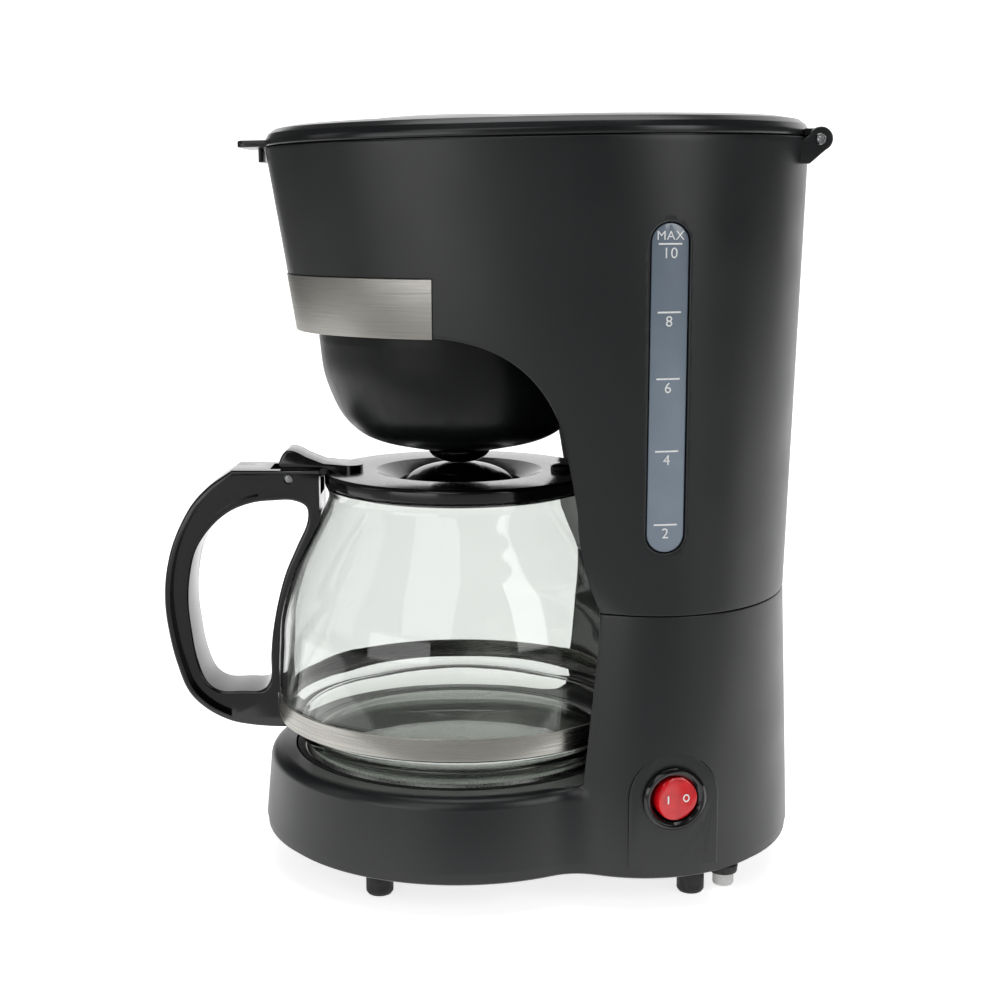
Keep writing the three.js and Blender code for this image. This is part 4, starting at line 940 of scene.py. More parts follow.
def lower_block():
    """The base and the column below the seam as one solid, with the deck, the hollow and rounded edges."""
    top = mm.seam
    deck_run = base_run(mm.deck)

    def column_edge(z):
        x, y = oval_xy(z, bay_edge(z))
        return Vector((x, y, z))

    foot = column_edge(mm.deck)
    front_keys = [(a, deck_run) for a in steps(-pi / 2, direction(foot, BASE_EYE), 240)]
    front_keys = resampled([base_point(*k) for k in front_keys], front_keys, 130)
    front = [base_point(*k) for k in front_keys]
    front[-1] = foot
    heights = steps(mm.deck, top, 46)
    column = [column_edge(z) for z in heights]
    rear_angles = steps(direction(column[-1], BASE_EYE), pi / 2, 90)
    rear = [base_point(a, base_run(top)) for a in rear_angles]
    rear[0] = column[-1]
    corner = front + column[1:] + rear[1:]
    foot_at = len(front) - 1
    turn_at = foot_at + len(column) - 1
    column_tangents = tangents(column)
    rise = Vector((0, 0, 1))
    outer, inner = [], []
    for k, p in enumerate(corner):
        if k <= foot_at:
            outer.append(p.copy())
            inner.append(p.copy())
            continue
        half, centre, reach = oval(p.z)[:3]
        out_normal = Vector((p.x / half**2, (p.y - centre) / reach**2, 0)).normalized()
        if k <= turn_at:
            hollow = -Vector((p.x, p.y, 0)).normalized()
            t = column_tangents[k - foot_at]
            size = mm.edge * clamp((k - foot_at) / 3)
            b = across(t, out_normal, hollow)
            d = across(t, hollow, out_normal)
            outer.append(p + b * size - (rise * SEAM_EDGE if k == turn_at else Vector()))
            inner.append(p + d * size)
        else:
            outer.append(p - rise * SEAM_EDGE)
            inner.append(p - out_normal * SEAM_EDGE)
    bottom_keys = [lerp(-pi / 2, direction(foot, BASE_EYE) - 0.02, k / foot_at) for k in range(foot_at + 1)]
    span = turn_at - foot_at
    bottom_keys += [direction(foot, BASE_EYE) - 0.02 + 0.05 * k / span for k in range(1, span + 1)]
    rest = len(corner) - 1 - turn_at
    bottom_keys += [lerp(bottom_keys[turn_at], pi / 2, k / rest) for k in range(1, rest + 1)]
    ends = [(direction(p, BASE_EYE), base_run(p.z)) for p in outer]
    for k in range(foot_at + 1):
        ends[k] = front_keys[k]
    rows = []
    for v in steps(0, 1, 72)[:-1]:
        row = []
        for a0, (a1, run) in zip(bottom_keys, ends):
            row.append(base_point(lerp(a0, a1, v), lerp(SKIRT_EDGE, run, v)))
        rows.append(row)
    rows.append(outer)
    skirt = []
    for a in steps(pi / 2, 0, 3)[:-1]:
        row = []
        for key in bottom_keys:
            r = base_radius(key, mm.skirt) - SKIRT_EDGE * (1 - cos(a))
            row.append(on_circle(r, key, mm.skirt + SKIRT_EDGE * (1 - sin(a)), 0, BASE_EYE))
        skirt.append(row)
    rows = skirt + rows
    bend = mm.bay_foot
    bend_run = bend * pi / 2
    flat_run = mm.bay - bend - mm.plate_hole - mm.gap

    def deck_point(angle, s):
        if s <= flat_run:
            r, z = mm.plate_hole + mm.gap + s, mm.deck
        elif s <= flat_run + bend_run:
            a = (s - flat_run) / bend
            r, z = mm.bay - bend + bend * sin(a), mm.deck + bend * (1 - cos(a))
        else:
            r, z = mm.bay, mm.deck + bend + s - flat_run - bend_run
        return on_circle(r, angle, z)

    def deck_run_of(p):
        if p.z < mm.deck + 1e-4:
            return min(hypot(p.x, p.y) - mm.plate_hole - mm.gap, flat_run)
        if p.z < mm.deck + bend:
            return flat_run + bend * acos(1 - (p.z - mm.deck) / bend)
        return flat_run + bend_run + p.z - mm.deck - bend

    turn_angle = atan2(inner[turn_at].y, inner[turn_at].x)
    arc = [on_circle(mm.bay, a, top) for a in steps(turn_angle, pi / 2, rest)]
    inner[turn_at] = arc[0].copy()
    outline = inner[: turn_at + 1] + arc[1:]
    rounding = rolls(outer, corner, inner)
    targets = [lerp(-pi / 2, 0.5, k / foot_at) for k in range(foot_at + 1)]
    targets += [lerp(0.5, 0.85, k / span) for k in range(1, span + 1)]
    targets += [lerp(0.85, pi / 2, k / rest) for k in range(1, rest + 1)]
    deck_rows = [outline]
    for v in steps(0, 1, 60)[1:]:
        row = []
        for p, end in zip(outline, targets):
            row.append(deck_point(lerp(direction(p), end, v), lerp(deck_run_of(p), 0.0, v)))
        deck_rows.append(row)
    crescent = [[lerp(a, b, v) for a, b in zip(inner[turn_at:], arc)] for v in steps(0, 1, 5)]
    to_middle(rows + rounding + deck_rows + [corner, inner, outer])
    to_middle(crescent, (-1,))
    shell = Shell()
    shell.patch(mirrored(rows))
    shell.fan(mirrored(rows)[0], Vector((0, BASE_EYE, mm.skirt)))
    shell.patch(mirrored([outer] + rounding + [inner]))
    shell.patch(mirrored(deck_rows))
    shell.fan(mirrored(deck_rows)[-1], Vector((0, 0, mm.deck)))
    shell.patch(crescent, loop=False)
    shell.patch([[Vector((-p.x, p.y, p.z)) for p in row] for row in crescent], loop=False)
    return shell.build("lower_block")


def base_loft(levels, segments=160):
    """A closed solid of the base outline through levels of (height, inset)."""
    rows = []
    for z, inset in levels:
        row = []
        for k in range(segments):
            a = TURN * k / segments
            row.append(on_circle(base_radius(a, z, inset), a, z, 0, BASE_EYE))
        rows.append(row)
    shell = Shell().patch(rows)
    for row in (rows[0], rows[-1]):
        shell.fan(row, Vector((0, BASE_EYE, row[0].z)))
    return shell


PAD_TURN = radians(10)  # how far the flat face round the switch looks to the rear


def turn_with_pad(shell):
    """Turns a piece of the switch, drawn facing +X, with the flat face it sits on."""
    c, s = cos(PAD_TURN), sin(PAD_TURN)

    def turn(p):
        x, y = p.x - mm.pad_x, p.y - mm.switch_y
        return Vector((mm.pad_x + x * c - y * s, mm.switch_y + x * s + y * c, p.z))

    return shell.warp(turn)


def pad_outline(grow=0.0):
    """The door shape of the flat face: round above the switch, straight down to the skirt."""
    r = mm.pad_radius + grow
    out = [Vector((mm.switch_y + r * cos(a), mm.switch_z + r * sin(a))) for a in steps(0, pi, 40)]
    low = mm.skirt - grow
    out += [Vector((mm.switch_y - r, lerp(mm.switch_z, low, t))) for t in steps(0, 1, 8)[1:]]
    out += [Vector((mm.switch_y + r, lerp(low, mm.switch_z, t))) for t in steps(0, 1, 8)[:-1]]
    return out


class COFFEE_OT_lower_housing(bpy.types.Operator):
    """Builds the lower housing: round base, deck and the column's foot with the switch face"""

    bl_idname = "coffee.lower_housing"
    bl_label = "Lower housing"

    def execute(self, context):
        take_sizes(context)
        body = lower_block()
        carve(body, turn_with_pad(slab(pad_outline(), mm.pad_x, mm.pad_x + THROUGH)).build("flat"))
        carve(body, base_loft([(mm.skirt - THROUGH, mm.wall), (mm.deck - mm.wall, mm.wall)]).build("inside"))
        column = loft([(z, mm.wall) for z in (mm.deck - 2 * mm.wall, 75, 95, mm.seam, mm.seam + THROUGH)])
        column = column.build("column")
        carve(column, bay_solid(mm.wall, 0).build("bay"))
        carve(body, column)
        pad = turn_with_pad(slab(pad_outline(), mm.pad_x - 7, mm.pad_x, 0.8)).build("pad")
        inside = turn_with_pad(slab(pad_outline(-mm.wall), mm.pad_x - 9, mm.pad_x - mm.wall)).build("inside")
        carve(pad, inside, block(40, 90, 0, 140, -20, mm.skirt + 0.001).build("below"))
        join(body, pad)
        low, high = mm.skirt - THROUGH, mm.skirt + 3.4
        step = base_loft([(low, -4), (high, -4)]).build("step")
        carve(step, base_loft([(low - 1, 0.5), (high + 1, 0.5)]).build("core"))
        carve(body, step)
        opening = post(mm.plate_hole + mm.gap, mm.deck - THROUGH, mm.deck + THROUGH, segments=128)
        hole = turn_with_pad(bar(10.15, mm.pad_x - 8, mm.pad_x + THROUGH, mm.switch_y, mm.switch_z))
        carve(body, opening.build("plate"), hole.build("hole"))
        gland = turned([(0, 100), (5.55, 100), (5.55, 145), (0, 145)], 48)
        gland.warp(lambda p: Vector((p.x + mm.gland_x, p.z, -p.y + mm.gland_z)))
        carve(body, gland.build("gland"))
        piece(body, "lower_housing_shell", "moulded_abs_charcoal", "body", ["lower_housing"])
        return {"FINISHED"}


class COFFEE_OT_bottom_cover(bpy.types.Operator):
    """Builds the bottom cover with its air slots"""

    bl_idname = "coffee.bottom_cover"
    bl_label = "Bottom cover"

    def execute(self, context):
        take_sizes(context)
        top = mm.skirt
        low = top - 2.6
        edge = mm.wall + mm.gap
        body = base_loft([(low, edge + 2.2), (low + 0.3, edge + 1), (low + 1, edge), (top, edge)]).build("cover")
        for k in range(-2, 3):
            tool = block(k * 9 - 2, k * 9 + 2, -34, 4, low - THROUGH, top + THROUGH, 0.9)
            carve(body, tool.build("slot"))
        for x, y, r in self.holes():
            carve(body, post(r, low - THROUGH, top + THROUGH, x, y).build("hole"))
        piece(body, "bottom_cover_shell", "moulded_abs_charcoal", "body", ["bottom_cover"])
        return {"FINISHED"}

    def holes(self):
        """Centre and radius of each hole, read from the solids that pass through it."""
        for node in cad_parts:
            if node.startswith(("foot_", "pale_plug_", "cover_screw_")):
                low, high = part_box(node)
                centre = (low + high) / 2 / MM
                radius = {"f": 3.35, "p": 2.95, "c": 2.75}[node[0]]
                yield centre.x, centre.y - mm.axis_y, radius


class COFFEE_OT_steel_trim(bpy.types.Operator):
    """Builds the brushed steel trim round the head's front"""

    bl_idname = "coffee.steel_trim"
    bl_label = "Steel trim"

    def execute(self, context):
        take_sizes(context)
        body = trim_solid(0.35, 0.9, mm.trim_bottom, mm.trim_top, mm.trim_end, 0.3).build("trim")
        piece(body, "steel_trim_band", "brushed_stainless_trim", "body", ["steel_trim"])
        return {"FINISHED"}


class COFFEE_OT_level_window(bpy.types.Operator):
    """Builds the level window and its printed marks"""

    bl_idname = "coffee.level_window"
    bl_label = "Level window"

    MARKS = ((245.1, "MAX", "10"), (221.5, "", "8"), (198.2, "", "6"), (172.5, "", "4"), (146.0, "", "2"))

    def execute(self, context):
        take_sizes(context)
        gap = -mm.gap
        levels = [(gap - 0.5, 0.8), (gap - 0.15, 0.9), (gap, 1.2), (gap, mm.wall), (gap - 0.3, mm.wall + 0.3)]
        body = side_stack(levels).build("window")
        piece(body, "level_window_pane", "tinted_polystyrene_window", "body", ["level_window"])
        lines = Shell()
        letters = []
        half, low, high, thick = 4.2, 0.84, 0.7, 0.3
        for z, above, below in self.MARKS:
            rows = []
            for depth, v in ((low, -thick), (high, -thick), (high, thick), (low, thick), (low, -thick)):
                rows.append([self.on_pane(mm.gauge_y + u, z + v, depth) for u in steps(-half, half, 24)])
            lines.patch(rows, loop=False)
            lines.cap([row[0] for row in rows[:-1]]).cap([row[-1] for row in rows[:-1]])
            if above:
                letters.append(self.lettering(above, 3.3, z + 1.4))
            letters.append(self.lettering(below, 3.9, z - 4.9))
        marks = lines.build("marks")
        work = bmesh.new()
        work.from_mesh(marks.data)
        for letter in letters:
            work.from_mesh(letter.data)
            bpy.data.objects.remove(letter)
        work.to_mesh(marks.data)
        work.free()
        piece(marks, "level_window_print", "printed_white_ink", "body")
        return {"FINISHED"}

    def on_pane(self, y, z, depth):
        """A point on the window's face."""
        return Vector((side_x(y, z, depth), y, z))

    def lettering(self, text, height, z):
        """A line of raised print, bent on to the window's face."""
        curve = bpy.data.curves.new("print", "FONT")
        curve.body = text
        curve.align_x = "CENTER"
        curve.size = height * 1.35
        curve.extrude = 0.05
        curve.space_character = 1.08
        made = bpy.data.objects.new("print", curve)
        bpy.context.scene.collection.objects.link(made)
        bpy.context.view_layer.update()
        mesh = bpy.data.meshes.new_from_object(made.evaluated_get(bpy.context.evaluated_depsgraph_get()))
        bpy.data.objects.remove(made)
        work = bmesh.new()
        work.from_mesh(mesh)
        bmesh.ops.remove_doubles(work, verts=work.verts, dist=1e-5)
        bmesh.ops.triangulate(work, faces=work.faces[:])
        for cut in steps(-6, 6, 30):
            everything = work.verts[:] + work.edges[:] + work.faces[:]
            bmesh.ops.bisect_plane(work, geom=everything, plane_co=(cut, 0, 0), plane_no=(1, 0, 0))
        work.to_mesh(mesh)
        work.free()
        for v in mesh.vertices:
            p = self.on_pane(mm.gauge_y + v.co.x, z + v.co.y, 0.76 - v.co.z)
            v.co = (p.x * MM, (p.y + mm.axis_y) * MM, p.z * MM)
        out = bpy.data.objects.new("print", mesh)
        bpy.context.scene.collection.objects.link(out)
        return out


# ------------------------------------------------------------------- brew head
def bowl_curve(inset=0.0):
    """The brew bowl's outer side, from the floor up to the ceiling, drawn in by inset."""
    r, z = mm.bowl, mm.bowl_bottom
    points = [
        (mm.nozzle + 6, z), (r - 22, z + 3.2), (r - 15.9, z + 6), (r - 11.8, z + 9.4), (r - 8.1, z + 13.9),
        (r - 4.3, z + 21.8), (r - 1.7, z + 29.7), (r, mm.ceiling - 4),
    ]
    curve = spline(points, 60)
    return [Vector((p.x - inset, p.y + inset * 0.6)) for p in curve]


class COFFEE_OT_brew_bowl(bpy.types.Operator):
    """Builds the brew bowl under the head"""

    bl_idname = "coffee.brew_bowl"
    bl_label = "Brew bowl"

    def execute(self, context):
        take_sizes(context)
        floor = mm.ceiling + mm.wall + mm.gap
        hole = mm.nozzle + mm.slide
        top = [(mm.bowl, floor), (mm.chamber - mm.gap, floor), (mm.chamber - mm.gap, floor + 2)]
        top.append((mm.bowl - 2.2, floor + 2))
        inner = [p for p in reversed(bowl_curve(2.2)) if p.x > hole + 1 and p.y < floor]
        low = [(hole, mm.bowl_bottom + 2.2), (hole, mm.bowl_bottom)]
        profile = bowl_curve() + top + inner + low
        body = ring_of(rounded(profile, 0.7, closed=True, arc=3), 160).build("bowl")
        piece(body, "brew_bowl_shell", "moulded_polypropylene_bowl", "body", ["brew_bowl"])
        return {"FINISHED"}


class COFFEE_OT_filter(bpy.types.Operator):
    """Builds the filter basket and the cone filter in it"""

    bl_idname = "coffee.filter"
    bl_label = "Filter basket and cone"

    def execute(self, context):
        take_sizes(context)
        r, z = mm.bowl, mm.bowl_bottom
        skin_t = 1.8
        low = mm.basket_bottom
        flange = mm.ceiling + mm.wall + 3 * mm.gap + 2 - mm.gap
        mouth = mm.chamber - 3.3
        body = r - 3.6
        side = [(r - 30.2, z + 6), (r - 20.7, z + 9.5), (r - 14.2, z + 15), (r - 9.7, z + 23), (r - 6.8, z + 32)]
        side.append((r - 4.6, mm.ceiling))
        outer = [(5.2, low), (14, low)] + side + [
            (body, flange), (mm.chamber - 1, flange), (mm.chamber - 1, flange + 2), (body + 2, flange + 2),
            (mouth, mm.basket_top),
        ]
        inner = [(mouth - skin_t, mm.basket_top), (body - skin_t, flange)]
        inner += [(x - skin_t, y) for x, y in side[:3:-1]]
        inner += [(x - skin_t, y + skin_t) for x, y in side[3::-1]]
        inner += [(12, low + 1.8), (5.2, low + 1.8)]
        profile = rounded([Vector(p) for p in outer + inner], 0.7, closed=True, arc=3)
        basket = ring_of(profile, 160).build("basket")
        finish = "moulded_polypropylene_bowl"
        piece(basket, "filter_basket_shell", finish, "body", ["filter_basket"])
        self.cone(low, mouth)
        return {"FINISHED"}

    def cone(self, low, mouth):
        """The cone filter: a ring, four ribs and a skin of fine mesh."""
        floor = low + 1.8 + 2.2 + 2.6 + 2 * mm.gap
        m0, m1 = mm.ceiling - 7, mm.ceiling + 10
        top = mm.basket_top + mm.gap
        skin_out = [(0, floor), (20, floor), (mouth - 10.7, m0), (mouth - 6.6, m1), (mouth - 2.9, top)]
        skin_in = [(mouth - 3.6, top), (mouth - 7.3, m1), (mouth - 11.4, m0 + 0.3)]
        skin_in += [(19.5, floor + 0.7), (0, floor + 0.7)]
        shell = turned(rounded([Vector(p) for p in skin_out + skin_in], 0.3, arc=2), 144)
        mesh = shell.build("mesh")
        piece(mesh, "filter_cone_mesh", "woven_nylon_filter", "body", ["filter_cone"])
        section = [(mouth - 3.5, top), (mouth - 0.2, top), (mouth - 0.2, top + 1), (mouth - 3.5, top + 1)]
        frame_part = ring_of(rounded(section, 0.4, closed=True, arc=3), 144).build("ring")
        for k in range(4):
            a = TURN * k / 4 + 0.4
            line = [(19.2, floor + 1.0), (mouth - 11.8, m0 + 0.5), (mouth - 7.7, m1), (mouth - 3.2, top + 0.5)]
            path = [(x * cos(a), x * sin(a), y) for x, y in line]
            join(frame_part, tube(path, 0.55, 0, 24, 10).build("rib"))
        piece(frame_part, "filter_cone_frame", "moulded_polypropylene_bowl", "body")


class COFFEE_OT_drip_valve(bpy.types.Operator):
    """Builds the drip valve, its seal and its coil spring"""

    bl_idname = "coffee.drip_valve"
    bl_label = "Drip valve"

    def execute(self, context):
        take_sizes(context)
        top, tip = mm.valve_top, mm.valve_tip
        cup, stem = tip + 3.4, 4.6
        seal = mm.basket_bottom + 1.8
        dome = [
            (3.8 + (mm.nozzle - 3.8) * sin(a), tip + (top - 1.2 - tip) * (1 - cos(a)))
            for a in steps(0, pi / 2, 22)
        ]
        profile = [(0, tip)] + dome + [
            (mm.nozzle, top), (mm.nozzle - 1.6, top), (mm.nozzle - 2.6, cup), (stem, cup), (stem, seal),
            (stem - 1.4, seal), (stem - 1.4, seal + 2.2), (0, seal + 2.2),
        ]
        valve = turned(rounded(profile, 0.45, arc=3), 112).build("valve")
        piece(valve, "drip_valve_cup", "polished_black_phenolic", "valve", ["drip_valve"])
        ring = [(stem - 1.05, seal + mm.gap), (8.6, seal + mm.gap), (8.6, seal + 2), (stem - 1.05, seal + 2)]
        washer = ring_of(rounded(ring, 0.4, closed=True), 80).build("seal")
        piece(washer, "valve_seal_ring", "translucent_silicone", "valve", ["valve_seal"])
        self.spring(cup + mm.gap, mm.basket_bottom - mm.gap)
        return {"FINISHED"}

    def spring(self, low, high):
        """The coil that pushes the valve shut."""
        wire, turns = 0.45, 3.5
        path = []
        for k in range(int(turns * 24) + 1):
            a = TURN * k / 24
            t = k / (turns * 24)
            lift = clamp((t - 0.12) / 0.76)
            path.append((7.5 * cos(a), 7.5 * sin(a), lerp(low + wire, high - wire, lift)))
        coil = tube(path, wire, 0, len(path) * 2, 10).build("spring")
        piece(coil, "valve_spring_coil", "drawn_spring_steel", "body", ["valve_spring"])
        lift = 2.5
        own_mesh(coil)


class COFFEE_OT_lid(bpy.types.Operator):
    """Builds the lid with its raised crown, finger tab, catch and hinge eyes"""

    bl_idname = "coffee.lid"
    bl_label = "Lid"

    def execute(self, context):
        take_sizes(context)
        low = mm.low_lid
        crown, dome_top = mm.lid_crown, mm.lid_crown + 3
        section = [(low, 4.0), (low, 0.0), (low + 2.4, 0.0), (low + 4.6, 1.2), (low + 6.4, 3.6)]
        section += [(low + 7.4, 9), (low + 7.5, 20)]
        body = loft([tuple(p) for p in rounded(section, 1.1)]).build("lid")
        skirt = loft([(low - 5, mm.wall + 1.2), (low - 4.6, mm.wall + mm.slide), (low + 2, mm.wall + mm.slide)])
        line = [(mm.dome, low + 4), (mm.dome, crown - 3.2), (mm.dome - 3, crown - 1.4)]
        line += [(mm.dome - 10, crown - 0.3), (mm.dome - 22, crown + 1.4), (16, dome_top - 0.4), (0, dome_top)]
        curve = line[:1] + [tuple(p) for p in spline(line[1:], 40)]
        dome = follow_rim(turned([(0, low + 4)] + curve, 160))
        join(body, skirt.build("skirt"), dome.build("dome"))
        inner = loft([(low - THROUGH, mm.wall + 1.9), (low + 3, mm.wall + 1.9), (low + 5, 10)], 120)
        hollow = [(0, low - 1), (mm.dome - 6, low - 1), (mm.dome - 6, crown - 4.6), (mm.dome - 24, crown - 1.6)]
        hollow = follow_rim(turned(hollow + [(0, dome_top - 2.6)], 96))
        carve(body, inner.build("inner"), hollow.build("hollow"))
        wide = mm.tab_width / 2
        tab_front = mm.rim_front - 9.4
        tab_rear = mm.rim_front + 6
        outline = [(-wide, tab_rear), (-wide, tab_front), (wide, tab_front), (wide, tab_rear)]
        outline = rounded(outline, 3.2, closed=True, arc=8)
        rows = []
        for inset, rise in ((0.5, 0), (0.12, 0.15), (0, 0.5), (0, 2.0), (0.15, 2.4), (0.6, 2.6)):
            rows.append([Vector((p.x, p.y, low + rise)) for p in grown(outline, -inset)])
        tab = follow_rim(Shell().patch(rows).cap(rows[0]).cap(rows[-1]))
        hook = follow_rim(block(-9, 9, mm.rim_front - 2.4, mm.rim_front - 0.8, low - 5.4, low + 1, 0.4))
        join(body, tab.build("tab"), hook.build("hook"))
        for side in (-1, 1):
            on_hinge = (mm.hinge_y, mm.hinge_z)
            carve(body, bar(mm.eye + mm.slide, *to_side(side, *mm.hinge_room), *on_hinge).build("room"))
            a, b = to_side(side, *mm.lid_eye)
            arm = block(a, b, mm.hinge_y - 9, mm.hinge_y, mm.hinge_z + 1.6, mm.hinge_z + 4, 0.5)
            join(body, bar(mm.eye, a, b, *on_hinge, 0.5).build("eye"), arm.build("arm"))
            carve(body, bar(mm.pin_bore, *to_side(side, 12, mm.lug[1]), *on_hinge).build("bore"))
        piece(body, "lid_cover_shell", "moulded_abs_lid", "lid", ["lid_cover"])
        self.baffle()
        for side, name in ((-1, "left"), (1, "right")):
            a, b = to_side(side, *mm.pin_span)
            pin = bar(1.8, a, b, mm.hinge_y, mm.hinge_z, 0.25, bore=1.1).build("pin")
            node = f"hinge_pin_{name}"
            piece(pin, f"{node}_tube", "turned_hinge_steel", "body", [node])
        return {"FINISHED"}

    def baffle(self):
        """The plate under the lid that keeps the steam over the grounds."""
        top = mm.rim - 3
        section = [(0, top - 2), (38.2, top - 2), (38.2, top - 3.4), (40, top - 3.4), (40, top), (0, top)]
        plate = follow_rim(turned(rounded(section, 0.5), 112)).build("baffle")
        for k in range(4):
            a = TURN * (k + 0.5) / 4
            peg = follow_rim(post(3, top - 1, mm.lid_crown - 3.2, 25 * cos(a), 25 * sin(a), 40))
            join(plate, peg.build("peg"))
        for k in range(8):
            a = TURN * k / 8
            hole = post(2, top - THROUGH, top + 2, 14 * cos(a), 14 * sin(a), 32)
            carve(plate, follow_rim(hole).build("hole"))
        piece(plate, "lid_baffle_plate", "moulded_polypropylene_bowl", "lid", ["lid_baffle"])


# ------------------------------------------------------------- heat and water
class COFFEE_OT_hot_plate(bpy.types.Operator):
    """Builds the hot plate and the rubber seal round it"""

    bl_idname = "coffee.hot_plate"
    bl_label = "Hot plate"

    def execute(self, context):
        take_sizes(context)
        top, r = mm.plate_top, mm.plate
        section = [
            (0, top - 1.6), (r - 3, top - 1.6), (r - 3, top - 3.2), (r + 2.6, top - 3.2), (r + 2.6, top - 1.8),
            (r, top - 1.8), (r - 1.2, top), (9, top), (8, top - 0.3), (0, top - 0.3),
        ]
        plate = turned(rounded(section, 0.5), 160).build("plate")
        piece(plate, "hot_plate_disc", "coated_hot_plate", "body", ["hot_plate"])
        r += mm.gap
        out, low = mm.plate_hole - mm.gap, top - 3.25
        section = [(r, top - 1.4), (r + 1, top - 0.3), (out, top - 0.4), (out, low)]
        section += [(mm.plate + 3, low), (mm.plate + 3, top - 1.4)]
        seal = ring_of(rounded(section, 0.4, closed=True), 160).build("seal")
        piece(seal, "plate_seal_ring", "moulded_black_rubber", "body", ["plate_seal"])
        return {"FINISHED"}


class COFFEE_OT_water_parts(bpy.types.Operator):
    """Builds what shows in the open tank: riser, spout, check valve and outlets"""

    bl_idname = "coffee.water_parts"
    bl_label = "Water parts"

    def execute(self, context):
        take_sizes(context)
        x, y, floor = 16.0, 106.0, mm.tank_floor
        z, front = mm.riser_z, mm.chamber + 6.5
        riser = [(x, y, floor + 2.55), (x, y, 190), (x, y, z - 16), (x - 2, y - 6, z - 4), (x - 6, y - 22, z)]
        riser += [(8, front + 6, z), (8, front, z)]
        pipe = tube(riser, 4.4, 3.0, 90, 32).build("riser")
        piece(pipe, "riser_tube_pipe", "translucent_silicone", "body", ["riser_tube"])
        spout = [(8, front - mm.gap, z), (8, mm.chamber - 6.5, z), (5.5, mm.chamber - 20, z)]
        spout += [(2.5, 24, z - 1), (0, 12, z - 3), (0, 8, z - 8)]
        pipe = tube(spout, 4.4, 2.8, 60, 32).build("spout")
        piece(pipe, "water_spout_pipe", "polished_black_phenolic", "body", ["water_spout"])
        low = floor + 2.2 + mm.gap
        cage = [(2.2, low), (6.6, low), (6.6, low + 1.6), (4.8, low + 8), (3.4, low + 8)]
        cage += [(3.4, low + 2), (2.2, low + 2)]
        made = ring_of(rounded(cage, 0.4, closed=True), 64, -x, y).build("cage")
        piece(made, "check_valve_cage", "translucent_silicone", "body", ["check_valve"])
        for side, name in ((-1, "cold"), (1, "hot")):
            low, r = floor - mm.wall - 10, 4.5 - mm.gap
            barb = [(2.4, low), (r - 0.6, low), (r, low + 3), (r, floor + 0.35), (r + 3, floor + 0.35)]
            barb += [(r + 3, floor + 2.2), (2.4, floor + 2.2)]
            made = ring_of(rounded(barb, 0.4, closed=True), 64, side * x, y).build("barb")
            node = f"{name}_spout"
            piece(made, f"{node}_barb", "polished_black_phenolic", "body", [node])
        return {"FINISHED"}


class COFFEE_OT_inner_parts(bpy.types.Operator):
    """Gives the heater, its fittings, the hoses and the terminal block their finishes"""

    bl_idname = "coffee.inner_parts"
    bl_label = "Heater and wiring parts"

    FINISH = {
        "heater_tube": "cast_heater_aluminium", "heater_clamp": "cast_heater_aluminium",
        "thermostat": "cast_heater_aluminium", "thermal_fuse": "pale_moulded_rubber",
        "cold_hose": "translucent_silicone", "hot_hose": "translucent_silicone",
        "terminal_block": "pale_moulded_rubber",
    }

    def execute(self, context):
        for node, material in self.FINISH.items():
            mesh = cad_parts[node].data
            mesh.materials.clear()
            mesh.materials.append(bpy.data.materials[material])
        return {"FINISHED"}


